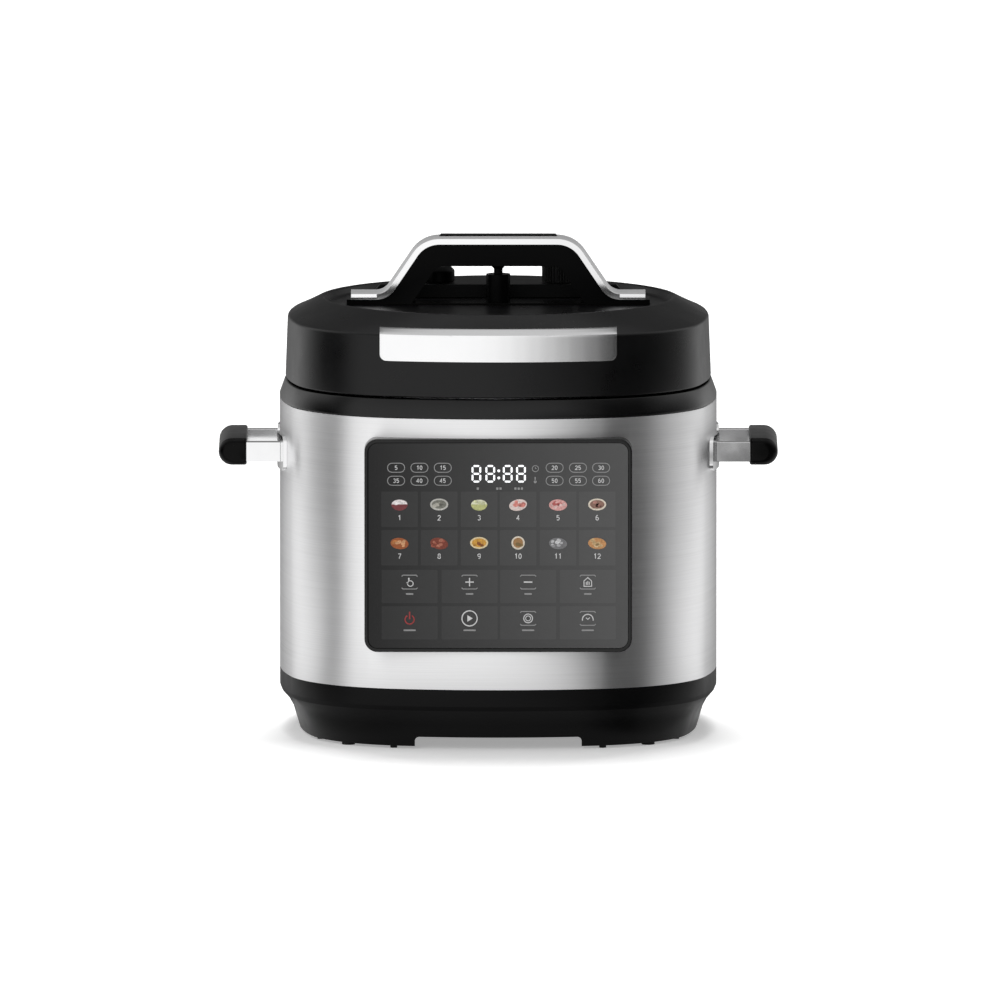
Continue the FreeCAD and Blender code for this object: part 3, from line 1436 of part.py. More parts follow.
# Steam pipe with its knurled knob and the guard round the pipe's foot
pipe_top_z = deck_top_z + d.pipe_top
pipe = turned("vent_pipe", [
    (d.pipe_bore, plate_z - d.pipe_foot),
    (d.pipe_radius, plate_z - d.pipe_foot),
    (d.pipe_radius, plate_top_z),
    (d.pipe_nut, plate_top_z),
    (d.pipe_nut, plate_top_z + d.pipe_nut_height),
    (d.pipe_radius, plate_top_z + d.pipe_nut_height),
    (d.pipe_radius, pipe_top_z),
    (d.pipe_bore, pipe_top_z),
])
piece("vent_pipe", place(pipe, valve_right, d.valve_place_y))
knob_low = deck_top_z + d.knob_gap
knob_top = knob_low + d.knob_height
knob = turned("pressure_knob", [
    (d.pipe_radius + d.running_gap, knob_low),
    (d.knob_radius, knob_low),
    (d.knob_radius, knob_top - d.knob_bevel),
    (d.knob_radius - d.knob_bevel, knob_top),
    (ZERO, knob_top),
    (ZERO, knob_top - d.knob_cap),
    (d.pipe_radius + d.running_gap, knob_top - d.knob_cap),
])
add_holes(knob, "pressure_knob", d.knob_rib, d.knob_radius, d.knob_rib_count)
piece("pressure_knob", place(knob, valve_right, d.valve_place_y))
cup_low = plate_z - d.shield_cup_depth
cup = turned("pipe_guard", [
    (ZERO, cup_low),
    (d.shield_cup_radius, cup_low),
    (d.shield_cup_radius, plate_z),
    (d.shield_cup_radius - d.shield_cup_wall, plate_z),
    (d.shield_cup_radius - d.shield_cup_wall, cup_low + d.shield_cup_wall),
    (ZERO, cup_low + d.shield_cup_wall),
])
piece("pipe_guard", place(cup, valve_right, d.valve_place_y))

# Float valve: cap, pin and seal that rise together under pressure
float_low = deck_top_z + d.float_gap
float_top = float_low + d.float_cap_height
cap = turned("float_cap", [
    (ZERO, float_low),
    (d.float_cap_radius, float_low),
    (d.float_cap_radius, float_top - d.float_cap_bevel),
    (d.float_cap_radius - d.float_cap_bevel, float_top),
    (ZERO, float_top),
])
piece("float_cap", place(cap, valve_left, d.valve_place_y))
float_seal_top = plate_z - d.float_stroke - d.float_seal_gap
float_seal_low = float_seal_top - d.float_seal_height
pin = cylinder("float_pin", d.float_radius, float_seal_low, float_low, valve_left, d.valve_place_y)
piece("float_pin", pin)
seal = turned("float_seal", [
    (d.float_radius, float_seal_low),
    (d.float_seal_radius, float_seal_low),
    (d.float_seal_radius, float_seal_top),
    (d.float_radius, float_seal_top),
])
piece("float_seal", place(seal, valve_left, d.valve_place_y))

# Check every object and write each piece to its own file
doc.recompute()
faults = [obj.Name for obj in doc.Objects if {"Invalid", "Error"} & set(obj.State)]
faults += [obj.Label for obj in pieces if obj.Shape.isNull() or not obj.Shape.isValid()]
if faults:
    raise RuntimeError("objects with faults: " + ", ".join(faults))
os.makedirs("parts", exist_ok=True)
for obj in pieces:
    obj.Shape.exportStep(os.path.join("parts", obj.Label + ".step"))
    print("%-22s solids %2d  volume %10.0f mm3" % (obj.Label, len(obj.Shape.Solids), obj.Shape.Volume))
everything = Part.makeCompound([obj.Shape for obj in pieces])
print("pieces", len(pieces), "box", everything.BoundBox)
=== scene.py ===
import json
import math
import random

import bmesh
import bpy
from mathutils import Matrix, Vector


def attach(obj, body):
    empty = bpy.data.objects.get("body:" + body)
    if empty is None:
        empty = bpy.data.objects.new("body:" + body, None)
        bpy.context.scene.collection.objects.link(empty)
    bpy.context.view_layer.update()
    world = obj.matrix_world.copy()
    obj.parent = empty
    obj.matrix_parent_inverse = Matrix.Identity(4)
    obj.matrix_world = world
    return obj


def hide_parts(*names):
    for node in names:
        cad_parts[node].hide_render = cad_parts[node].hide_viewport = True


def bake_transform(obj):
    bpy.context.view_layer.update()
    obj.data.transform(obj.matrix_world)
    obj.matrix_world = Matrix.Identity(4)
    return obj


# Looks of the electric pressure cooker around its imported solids.
# Sizes below are millimetres in the part's own frame: +Z up, the panel towards -Y.

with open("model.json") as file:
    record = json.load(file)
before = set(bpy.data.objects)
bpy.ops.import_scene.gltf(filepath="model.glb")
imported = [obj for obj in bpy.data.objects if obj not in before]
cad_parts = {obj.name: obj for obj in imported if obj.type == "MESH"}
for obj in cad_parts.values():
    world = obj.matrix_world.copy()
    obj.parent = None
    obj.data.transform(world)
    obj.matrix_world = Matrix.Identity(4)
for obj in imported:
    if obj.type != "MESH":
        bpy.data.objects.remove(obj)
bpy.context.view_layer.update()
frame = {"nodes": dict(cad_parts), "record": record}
nodes = frame["nodes"]

MM = 0.001
SIDES = (-1, 1)

# Plan of the body: four flank arcs and four corner arcs
BODY_HALF = 150.0
FLANK_R = 310.0
CORNER_R = 96.0
FLANK_SHIFT = FLANK_R - BODY_HALF
ARC_STEP = FLANK_R - CORNER_R
CORNER_C = (math.sqrt(2 * ARC_STEP ** 2 - FLANK_SHIFT ** 2) - FLANK_SHIFT) / 2
JOINT = math.asin(CORNER_C / ARC_STEP)
FLANK_STEPS = 14
CORNER_STEPS = 26

# Heights
BASE_RIM, BASE_KNEE, BASE_FLARE, BASE_ROUND, BASE_BAND = 2.0, 17.0, 23.0, 28.0, 31.0
LEDGE_LOW, LEDGE_HIGH = 13.0, 15.0
STEEL_LOW, STEEL_HIGH = 42.7, 228.8
COLLAR_UNDER, COLLAR_LIP, WELL_Z, COLLAR_TOP = 231.0, 231.5, 235.0, 241.7
POT_LIP_Z, POT_TOP = 245.6, 247.1
LID_LOW, LID_BEND_Z, SHOULDER_Z, CEILING_Z, DECK_Z, LID_RIM_Z = 242.9, 283.7, 285.2, 289.6, 292.6, 297.5

# Insets from the plan, walls, and radii of what is round
RIM_IN, KNEE_IN, FLARE_IN, ROUND_IN, LEDGE_IN = 13.5, 9.0, 5.7, 1.2, 27.5
LAP_IN, LAP_DEEP, LAP_RISE = 1.3, 3.3, 7.0
WALL, SHEET = 3.0, 1.0
COLLAR_IN, WELL_R, MOUTH_R = 3.7, 132.5, 115.8
LID_IN, SHOULDER_IN, LID_RIM_R = 3.9, 5.5, 122.3
DISH_RIM_R, DISH_R, DISH_MID_R, CEILING_R, ROD_WAY_R = 119.5, 117.1, 60.0, 114.0, 3.4

# Panel
PANEL_FRONT, PANEL_BACK = -153.5, -131.5
PANEL_HALF, PANEL_ROUND = 91.4, 9.0
PANEL_LOW, PANEL_HIGH = 69.4, 215.7
GLASS_FRONT, GLASS_THICK = -153.25, 1.4
GLASS_BORDER, GLASS_GAP, RECESS_DEPTH = 2.7, 0.12, 1.7
PRINT_DEPTH, PRINT_SINK = 0.12, 0.05

# Bends sharper than this, in degrees, keep flat faces on both sides
FLAT_ANGLE = 14.0


# Mesh helpers

def normal_angles():
    """Directions round the plan: even steps on each flank arc and each corner arc."""
    angles = []
    for quarter in range(4):
        start = quarter * math.pi / 2
        angles += [start - JOINT + 2 * JOINT * i / FLANK_STEPS for i in range(FLANK_STEPS)]
        sweep = math.pi / 2 - 2 * JOINT
        angles += [start + JOINT + sweep * i / CORNER_STEPS for i in range(CORNER_STEPS)]
    return angles


ANGLES = normal_angles()


def plan_point(angle, inset):
    """Point of the inset plan where its outward normal has this direction, measured from the front."""
    quarter = round(angle / (math.pi / 2))
    local = angle - quarter * math.pi / 2
    if abs(local) <= JOINT + 1e-9:
        x = (FLANK_R - inset) * math.sin(local)
        y = FLANK_SHIFT - (FLANK_R - inset) * math.cos(local)
    else:
        x = math.copysign(CORNER_C, local) + (CORNER_R - inset) * math.sin(local)
        y = -CORNER_C - (CORNER_R - inset) * math.cos(local)
    for _ in range(quarter % 4):
        x, y = -y, x
    return Vector((x, y))


def squares(*places):
    """Rings of the squared plan, each from an inset and a height."""
    return [[Vector((*plan_point(a, inset), z)) for a in ANGLES] for inset, z in places]


def circles(*places):
    """Round rings with as many points as the plan, each from a radius and a height."""
    return [[Vector((*(plan_point(a, 0).normalized() * radius), z)) for a in ANGLES] for radius, z in places]


def between(low, high, share):
    return [p.lerp(q, share) for p, q in zip(low, high)]


def placed(name, data):
    """New object in the scene."""
    obj = bpy.data.objects.new(name, data)
    bpy.context.scene.collection.objects.link(obj)
    return obj


def to_object(name, bm, unit=MM):
    """New object from a bmesh, in millimetres unless another unit is given."""
    bmesh.ops.scale(bm, vec=(unit, unit, unit), verts=bm.verts)
    mesh = bpy.data.meshes.new(name)
    bm.to_mesh(mesh)
    bm.free()
    return placed(name, mesh)


def ring_solid(name, rings, closed=True):
    """Skin through rings of equal count; closed joins the last ring to the first."""
    bm = bmesh.new()
    loops = [[bm.verts.new(p) for p in ring] for ring in rings]
    count = len(rings[0])
    for low, high in zip(loops, loops[1:] + loops[:1] if closed else loops[1:]):
        for i in range(count):
            j = (i + 1) % count
            bm.faces.new((low[i], low[j], high[j], high[i]))
    if not closed:
        bm.faces.new(list(reversed(loops[0])))
        bm.faces.new(loops[-1])
    bmesh.ops.recalc_face_normals(bm, faces=bm.faces)
    return to_object(name, bm)


def apply_modifiers(obj):
    """Replace an object's mesh by the result of its modifiers."""
    graph = bpy.context.evaluated_depsgraph_get()
    mesh = bpy.data.meshes.new_from_object(obj.evaluated_get(graph))
    old = obj.data
    obj.modifiers.clear()
    obj.data = mesh
    bpy.data.meshes.remove(old)


def soften(obj, width, segments=3, angle=28.0):
    """Round the edges that are sharper than an angle, and shade smooth."""
    bevel = obj.modifiers.new("round", "BEVEL")
    bevel.width = width * MM
    bevel.segments = segments
    bevel.limit_method = "ANGLE"
    bevel.angle_limit = math.radians(angle)
    bevel.use_clamp_overlap = True
    apply_modifiers(obj)
    return smooth(obj)


def smooth(obj, angle=32.0):
    obj.data.shade_smooth()
    obj.data.set_sharp_from_angle(angle=math.radians(angle))
    return obj


def carve(obj, cutter):
    """Cut one object by another, which is then removed."""
    step = obj.modifiers.new("cut", "BOOLEAN")
    step.operation = "DIFFERENCE"
    step.solver = "EXACT"
    step.object = cutter
    apply_modifiers(obj)
    bpy.data.objects.remove(cutter)


def rounded_outline(low, high, radius, steps=8):
    """Corner points of a rounded rectangle, anticlockwise."""
    points = []
    centres = ((high[0] - radius, low[1] + radius), (high[0] - radius, high[1] - radius),
               (low[0] + radius, high[1] - radius), (low[0] + radius, low[1] + radius))
    for quarter, (cx, cy) in enumerate(centres):
        for i in range(steps + 1):
            a = (quarter - 1 + i / steps) * math.pi / 2
            points.append((cx + radius * math.cos(a), cy + radius * math.sin(a)))
    return points


def panel_outline(inset):
    """The panel's outline, drawn in on all sides."""
    return rounded_outline((-PANEL_HALF + inset, PANEL_LOW + inset), (PANEL_HALF - inset, PANEL_HIGH - inset),
                           PANEL_ROUND - inset)


def slab(name, outline, front, back):
    """Prism along Y from an outline in X and Z."""
    return ring_solid(name, [[Vector((x, y, z)) for x, z in outline] for y in (front, back)], closed=False)


def turned(name, profile, steps, x=0.0, y=0.0):
    """Skin of a profile of (radius, height) that starts and ends on the upright line it is turned about."""
    bm = bmesh.new()
    turns = [2 * math.pi * i / steps for i in range(steps)]
    loops = [[bm.verts.new((x + radius * math.sin(a), y - radius * math.cos(a), z))
              for a in (turns if radius else turns[:1])] for radius, z in profile]
    for low, high in zip(loops, loops[1:]):
        for i in range(steps):
            j = (i + 1) % steps
            corners = (low[i % len(low)], low[j % len(low)], high[j % len(high)], high[i % len(high)])
            bm.faces.new(list(dict.fromkeys(corners)))
    bmesh.ops.recalc_face_normals(bm, faces=bm.faces)
    return to_object(name, bm)


def cad_copy(name, node, width):
    """A node's own solid with its hard edges rounded."""
    bm = bmesh.new()
    bm.from_mesh(nodes[node].data)
    bmesh.ops.remove_doubles(bm, verts=bm.verts, dist=1e-6)
    bmesh.ops.dissolve_limit(bm, angle_limit=math.radians(1.0), verts=bm.verts, edges=bm.edges)
    return smooth(soften(to_object(name, bm, 1.0), width, 2, 30.0), FLAT_ANGLE)


# Materials

class Paint:
    """A Principled material with noise that drives its colour, roughness and grain."""

    def __init__(self, name, color, rough, metal=0.0, **fixed):
        self.material = bpy.data.materials.new(name)
        self.material.use_nodes = True
        self.tree = self.material.node_tree
        self.shader = self.tree.nodes["Principled BSDF"]
        self.shader.inputs["Metallic"].default_value = metal
        for socket, value in fixed.items():
            self.shader.inputs[socket.replace("_", " ")].default_value = value
        self.color = color
        self.rough = rough
        self.coords = self.node("ShaderNodeTexCoord").outputs["Object"]

    def node(self, kind, **values):
        made = self.tree.nodes.new(kind)
        for key, value in values.items():
            if key in made.inputs:
                made.inputs[key].default_value = value
            else:
                setattr(made, key, value)
        return made

    def join(self, source, socket):
        self.tree.links.new(source, socket)

    def link(self, source, socket):
        self.join(source, self.shader.inputs[socket])

    def noise(self, stretch, detail=3.0, rough=0.5):
        """Noise in the part's own frame, with its grain per metre along each axis."""
        scaled = self.node("ShaderNodeVectorMath", operation="MULTIPLY")
        scaled.inputs[1].default_value = stretch
        self.join(self.coords, scaled.inputs[0])
        noise = self.node("ShaderNodeTexNoise", Scale=1.0, Detail=detail, Roughness=rough)
        self.join(scaled.outputs[0], noise.inputs["Vector"])
        return noise.outputs["Fac"]

    def ramp(self, source, low, high, start=0.3, end=0.7):
        """Colour between two values as the source rises."""
        ramp = self.node("ShaderNodeValToRGB")
        for element, place, value in zip(ramp.color_ramp.elements, (start, end), (low, high)):
            element.position = place
            element.color = (*value, 1.0)
        self.join(source, ramp.inputs["Fac"])
        return ramp.outputs["Color"]

    def spread(self, source, low, high, start=0.3, end=0.7):
        """Number between two values as the source rises."""
        span = self.node("ShaderNodeMapRange")
        for socket, value in zip(("From Min", "From Max", "To Min", "To Max"), (start, end, low, high)):
            span.inputs[socket].default_value = value
        self.join(source, span.inputs["Value"])
        return span.outputs["Result"]

    def grain(self, source, height, strength):
        bump = self.node("ShaderNodeBump", Strength=strength, Distance=height * MM)
        self.join(source, bump.inputs["Height"])
        self.link(bump.outputs["Normal"], "Normal")

    def vary(self, source, color_share, rough_spread):
        """Colour and roughness that follow a noise."""
        low = [c * (1 - color_share) for c in self.color]
        high = [min(1.0, c * (1 + color_share)) for c in self.color]
        self.link(self.ramp(source, low, high), "Base Color")
        self.link(self.spread(source, self.rough - rough_spread, self.rough + rough_spread), "Roughness")


def plastic(name, shade, rough, grain_height, specular=0.4):
    """Moulded plastic: faint mottling and a fine texture."""
    paint = Paint(name, shade, rough, Specular_IOR_Level=specular)
    paint.vary(paint.noise((60, 60, 60)), 0.12, 0.03)
    paint.grain(paint.noise((2600, 2600, 2600), 2.0), grain_height, 0.35)
    return paint.material


def brushed(name, shade, rough, streak):
    """Brushed metal: long streaks in colour, roughness and relief, gloss spread across the lines."""
    paint = Paint(name, shade, rough, 1.0, Anisotropic=0.85, Anisotropic_Rotation=0.25)
    fine = paint.noise(streak, 4.0, 0.65)
    broad = paint.noise([s * 0.22 for s in streak], 2.0)
    mixed = paint.node("ShaderNodeMath", operation="MULTIPLY_ADD")
    paint.join(broad, mixed.inputs[0])
    mixed.inputs[1].default_value = 0.35
    paint.join(fine, mixed.inputs[2])
    low, high = [c * 0.93 for c in shade], [min(1.0, c * 1.04) for c in shade]
    paint.link(paint.ramp(mixed.outputs[0], low, high, 0.45, 0.95), "Base Color")
    paint.link(paint.spread(mixed.outputs[0], rough - 0.03, rough + 0.05, 0.45, 0.95), "Roughness")
    paint.grain(fine, 0.01, 0.10)
    tangent = paint.node("ShaderNodeTangent", direction_type="RADIAL", axis="Z")
    paint.link(tangent.outputs["Tangent"], "Tangent")
    return paint.material


def metal(name, shade, rough, mottle=0.06, grain=0.0, haze=0.04):
    """Plain or polished metal with faint clouds in its finish."""
    paint = Paint(name, shade, rough, 1.0)
    paint.vary(paint.noise((45, 45, 45), 4.0), mottle, haze)
    if grain:
        paint.grain(paint.noise((1800, 1800, 1800), 2.0), grain, 0.3)
    return paint.material


def edge_polished(name, shade, satin, polish):
    """Silver with satin broad faces, polished where it faces the front or the back."""
    paint = Paint(name, shade, satin, 1.0)
    paint.vary(paint.noise((45, 45, 45), 4.0), 0.015, 0.0)
    facing = paint.node("ShaderNodeSeparateXYZ")
    paint.join(paint.node("ShaderNodeTexCoord").outputs["Normal"], facing.inputs[0])
    along = paint.node("ShaderNodeMath", operation="ABSOLUTE")
    paint.join(facing.outputs["Y"], along.inputs[0])
    paint.link(paint.spread(along.outputs[0], satin, polish, 0.6, 0.95), "Roughness")
    return paint.material


def soft(name, shade, rough):
    """Rubber or silicone: even colour with a dusty grain."""
    paint = Paint(name, shade, rough, Specular_IOR_Level=0.35)
    paint.vary(paint.noise((120, 120, 120)), 0.06, 0.05)
    paint.grain(paint.noise((1500, 1500, 1500)), 0.02, 0.3)
    return paint.material


SATIN_BLACK = plastic("satin_black", (0.0022, 0.0022, 0.0024), 0.30, 0.006, 0.29)
BASE_BLACK = plastic("base_black", (0.0020, 0.0020, 0.0021), 0.40, 0.008, 0.12)
GLOSS_BLACK = plastic("gloss_black", (0.0018, 0.0018, 0.0019), 0.20, 0.002, 0.36)
CORE_BLACK = plastic("core_black", (0.0018, 0.0018, 0.0019), 0.30, 0.004, 0.05)
GRIP_BLACK = plastic("grip_black", (0.0016, 0.0016, 0.0016), 0.22, 0.003, 0.09)
BODY_STEEL = brushed("body_steel", (0.95, 0.95, 0.955), 0.40, (9, 9, 1300))
POT_STEEL = brushed("pot_steel", (0.60, 0.60, 0.61), 0.24, (30, 30, 900))
PLATE_STEEL = metal("plate_steel", (0.56, 0.56, 0.575), 0.28, 0.05, 0.004)
SCREW_STEEL = metal("screw_steel", (0.50, 0.50, 0.52), 0.30)
SPRING_STEEL = metal("spring_steel", (0.48, 0.48, 0.50), 0.26)
CHROME = metal("chrome", (0.90, 0.90, 0.905), 0.09, 0.03)
STRAP_SILVER = edge_polished("strap_silver", (0.97, 0.97, 0.975), 0.58, 0.10)
BADGE_SILVER = metal("badge_silver", (0.96, 0.96, 0.965), 0.24, 0.012, haze=0.010)
HEATER_ALU = metal("heater_alu", (0.58, 0.58, 0.59), 0.42, 0.10, 0.02)
SHIELD_ALU = metal("shield_alu", (0.70, 0.70, 0.71), 0.35)
ELEMENT = metal("element_metal", (0.20, 0.19, 0.185), 0.5, 0.2, 0.02)
PIN_BRASS = metal("pin_brass", (0.72, 0.56, 0.27), 0.28)
BOARD = plastic("board_green", (0.025, 0.14, 0.055), 0.42, 0.01)
PARTS = plastic("parts_dark", (0.03, 0.03, 0.034), 0.45, 0.01)
SILICONE = soft("seal_silicone", (0.74, 0.73, 0.70), 0.55)
RUBBER = soft("foot_rubber", (0.014, 0.014, 0.014), 0.8)

# Pieces that keep their own solids
for paint, names in (
        (RUBBER, ("rubber_feet",)), (BASE_BLACK, ("bottom_cover",)), (CORE_BLACK, ("push_rod",)),
        (BOARD, ("power_board", "control_board")), (SHIELD_ALU, ("heat_shield",)),
        (SCREW_STEEL, ("bottom_screws", "handle_bolts", "lid_screws", "handle_screws")),
        (PARTS, ("board_parts", "pressure_switch", "thermal_fuse", "display_module")),
        (PLATE_STEEL, ("outer_pot", "sensor_holder", "spring_bracket", "pressure_lid", "centre_tube",
                       "inner_cover", "vent_pipe", "pipe_guard", "float_pin")),
        (HEATER_ALU, ("heating_plate", "temperature_sensor")), (ELEMENT, ("heating_element",)),
        (SPRING_STEEL, ("sensor_spring", "button_spring")), (PIN_BRASS, ("inlet_pins",)),
        (SILICONE, ("sealing_ring", "release_seal", "float_seal"))):
    for name in names:
        nodes[name].data.materials.clear()
        nodes[name].data.materials.append(paint)

body_of = {node: body for body, members in frame["record"]["behaviour"]["bodies"].items() for node in members}


def wear(obj, paint, node):
    """Give a new piece its material and the node it stands for, with that node's body."""
    obj.data.materials.clear()
    obj.data.materials.append(paint)
    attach(obj, body_of[node])
    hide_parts(node)


# Base moulding with its front and back notches
base = ring_solid("base_moulding", squares(
    (RIM_IN, BASE_RIM), (KNEE_IN, BASE_KNEE), (FLARE_IN, BASE_FLARE), (ROUND_IN, BASE_ROUND),
    (0.0, BASE_BAND), (0.0, STEEL_LOW), (LAP_IN, STEEL_LOW), (LAP_IN, STEEL_LOW + LAP_RISE),
    (LAP_DEEP, STEEL_LOW + LAP_RISE), (LAP_DEEP, BASE_BAND), (FLARE_IN + WALL, BASE_FLARE),
    (RIM_IN + WALL, LEDGE_HIGH), (LEDGE_IN, LEDGE_HIGH), (LEDGE_IN, LEDGE_LOW), (RIM_IN + WALL, LEDGE_LOW),
    (RIM_IN + WALL, BASE_RIM)))
NOTCH_HALF, NOTCH_LOW, NOTCH_TOP, NOTCH_ROUND = 57.0, -20.0, 8.7, 3.0
NOTCH_REACH = BODY_HALF + 5
carve(base, slab("notch", rounded_outline((-NOTCH_HALF, NOTCH_LOW), (NOTCH_HALF, NOTCH_TOP), NOTCH_ROUND),
                 -NOTCH_REACH, NOTCH_REACH))
soften(base, 1.2, 3, 14.0)
wear(base, BASE_BLACK, "base_shell")

# Steel sleeve, open behind the inlet and the panel
INLET_HALF, INLET_LOW, INLET_HIGH, INLET_ROUND = 16.0, 56.7, 78.7, 0.5
PANEL_WAY_IN = 3.0
WAY_NEAR, WAY_FAR = 100.0, 160.0
sleeve = ring_solid("steel_sleeve", squares(
    (0.0, STEEL_LOW), (0.0, STEEL_HIGH), (SHEET, STEEL_HIGH), (SHEET, STEEL_LOW)))
soften(sleeve, 0.3, 2)
inlet_outline = rounded_outline((-INLET_HALF, INLET_LOW), (INLET_HALF, INLET_HIGH), INLET_ROUND, 2)
carve(sleeve, slab("inlet_way", inlet_outline, WAY_NEAR, WAY_FAR))
carve(sleeve, slab("panel_way", panel_outline(PANEL_WAY_IN), -WAY_FAR, -WAY_NEAR))
smooth(sleeve)
wear(sleeve, BODY_STEEL, "steel_body")

# Collar with the well that takes the lid's skirt
collar = ring_solid("collar", [
    *squares((0.0, STEEL_HIGH), (0.0, COLLAR_LIP), (COLLAR_IN, COLLAR_TOP)),
    *circles((WELL_R, COLLAR_TOP), (WELL_R, WELL_Z), (MOUTH_R, WELL_Z), (MOUTH_R, COLLAR_UNDER)),
    *squares((LAP_DEEP, COLLAR_UNDER), (LAP_DEEP, STEEL_HIGH - LAP_RISE), (LAP_IN, STEEL_HIGH - LAP_RISE),
             (LAP_IN, STEEL_HIGH))])
soften(collar, 0.9, 3)
wear(collar, GLOSS_BLACK, "top_collar")

# Inner pot with rounded foot and rolled lip
POT_FOOT = ((94, 63.5), (100.5, 64.4), (106.0, 67.6), (110.2, 73.0), (112.1, 79.0), (112.5, 83.5))
POT_HOLLOW = ((111.0, 83.5), (110.6, 79.4), (108.9, 73.8), (105.0, 68.8), (100.0, 65.9), (94, 65.0))
POT_LIP_R = 119.0
pot = turned("cooking_pot", [
    (0, POT_FOOT[0][1]), *POT_FOOT, (POT_FOOT[-1][0], POT_LIP_Z), (POT_LIP_R, POT_LIP_Z),
    (POT_LIP_R, POT_TOP), (POT_HOLLOW[0][0], POT_TOP), *POT_HOLLOW, (0, POT_HOLLOW[-1][1])], steps=128)
soften(pot, 0.35, 2, 40)
wear(pot, POT_STEEL, "inner_pot")

# Lid shell: squared wall, shoulder that runs to a round rim, dish and hollow underside
lid_edge, lid_shoulder = squares((LID_IN, LID_LOW), (SHOULDER_IN, SHOULDER_Z))
lid_rim = circles((LID_RIM_R, LID_RIM_Z))[0]
lid = ring_solid("lid_cover", [
    lid_edge, lid_shoulder, between(lid_shoulder, lid_rim, 0.5), lid_rim,
    *circles((DISH_RIM_R, LID_RIM_Z), (DISH_R, DECK_Z), (DISH_MID_R, DECK_Z), (ROD_WAY_R, DECK_Z),
             (ROD_WAY_R, CEILING_Z), (CEILING_R, CEILING_Z)),
    *squares((SHOULDER_IN + WALL, LID_BEND_Z), (LID_IN + WALL, LID_LOW))])
soften(lid, 1.6, 4, 14.0)
FLOAT_X, FLOAT_Y = -41.0, 46.0
FLOAT_WAY = ((0, 280), (2.9, 280), (2.9, 305), (0, 305))
carve(lid, turned("float_way", FLOAT_WAY, 32, FLOAT_X, FLOAT_Y))
smooth(lid)
wear(lid, SATIN_BLACK, "lid_shell")

# Silver plate folded over the lid's front edge
BADGE_HALF, BADGE_LOW, BADGE_HIGH, BADGE_ROUND = 81.0, 267.6, 288.7, 4.5
BADGE_THICK, BADGE_SINK = 1.15, 0.3
BADGE_COLUMNS, BADGE_CORNER_STEPS = 48, 6
BADGE_WALL_LEVELS = [276.0, 280.0, 283.2, 284.4]
BADGE_SLOPE_LEVELS = [285.9, 286.7, 287.7, BADGE_HIGH]
LID_FRONT_Y = -40
wall_out = Vector((0, -1, 0.04)).normalized()
slope_out = Vector((0, -0.42, 0.9)).normalized()


def lid_front(x, level):
    """Front surface of the lid at a sideways place; level runs 0 to 1 up the wall, 1 to 2 up the shoulder."""
    if level <= 1:
        ring = between(lid_edge, lid_shoulder, level)
    else:
        ring = between(lid_shoulder, lid_rim, level - 1)
    front = sorted((p.x, p.y, p.z) for p in ring if p.y < LID_FRONT_Y)
    for (x0, y0, z0), (x1, y1, z1) in zip(front, front[1:]):
        if x0 <= x <= x1:
            share = (x - x0) / (x1 - x0)
            return Vector((x, y0 + (y1 - y0) * share, z0 + (z1 - z0) * share))


def badge_rows():
    """Levels up the plate with the half width and outward direction at each."""
    rows = []
    corner = [BADGE_ROUND * (1 - math.cos(i * math.pi / (2 * BADGE_CORNER_STEPS)))
              for i in range(BADGE_CORNER_STEPS + 1)]
    for z in [BADGE_LOW + rise for rise in corner] + BADGE_WALL_LEVELS:
        drop = max(0.0, BADGE_LOW + BADGE_ROUND - z)
        half = BADGE_HALF - BADGE_ROUND + math.sqrt(BADGE_ROUND ** 2 - drop ** 2)
        rows.append(((z - LID_LOW) / (SHOULDER_Z - LID_LOW), half, wall_out))
    rows.append((1.0, BADGE_HALF, (wall_out + slope_out).normalized()))
    for z in BADGE_SLOPE_LEVELS:
        rows.append((1 + (z - SHOULDER_Z) / (LID_RIM_Z - SHOULDER_Z), BADGE_HALF, slope_out))
    return rows


def make_badge():
    """The plate's outer and inner skins, joined round their rim."""
    bm = bmesh.new()
    skins = []
    for lift in (BADGE_THICK, -BADGE_SINK):
        skin = []
        for level, half, out in badge_rows():
            xs = [-half + 2 * half * i / BADGE_COLUMNS for i in range(BADGE_COLUMNS + 1)]
            skin.append([bm.verts.new(lid_front(x, level) + out * lift) for x in xs])
        skins.append(skin)
    outer, inner = skins
    rows, columns = len(outer), BADGE_COLUMNS + 1
    for skin in skins:
        for r in range(rows - 1):
            for c in range(columns - 1):
                bm.faces.new((skin[r][c], skin[r][c + 1], skin[r + 1][c + 1], skin[r + 1][c]))
    rim = [(0, c) for c in range(columns)] + [(r, columns - 1) for r in range(1, rows)]
    rim += [(rows - 1, c) for c in range(columns - 2, -1, -1)] + [(r, 0) for r in range(rows - 2, 0, -1)]
    for (r0, c0), (r1, c1) in zip(rim, rim[1:] + rim[:1]):
        bm.faces.new((outer[r0][c0], outer[r1][c1], inner[r1][c1], inner[r0][c0]))
    bmesh.ops.recalc_face_normals(bm, faces=bm.faces)
    return to_object("badge_plate", bm)


badge = soften(make_badge(), 0.35, 2, 50)
wear(badge, BADGE_SILVER, "lid_badge")

# Pieces whose own solids only need their edges rounded
for name, node, width, paint in (
        ("rear_deck", "valve_deck", 1.2, BASE_BLACK),
        ("handle_bridge", "handle_core", 0.9, CORE_BLACK),
        ("steam_button", "release_button", 0.9, CORE_BLACK),
        ("rod_post", "release_post", 0.4, CORE_BLACK),
        ("float_top", "float_cap", 0.8, CORE_BLACK),
        ("steam_knob", "pressure_knob", 0.25, SATIN_BLACK),
        ("right_bars", "right_handle_bars", 1.2, CHROME),
        ("left_bars", "left_handle_bars", 1.2, CHROME),
        ("right_ears", "right_handle_plates", 0.7, CHROME),
        ("left_ears", "left_handle_plates", 0.7, CHROME),
        ("inlet_socket", "power_inlet", 0.6, GLOSS_BLACK)):
    wear(cad_copy(name, node, width), paint, node)
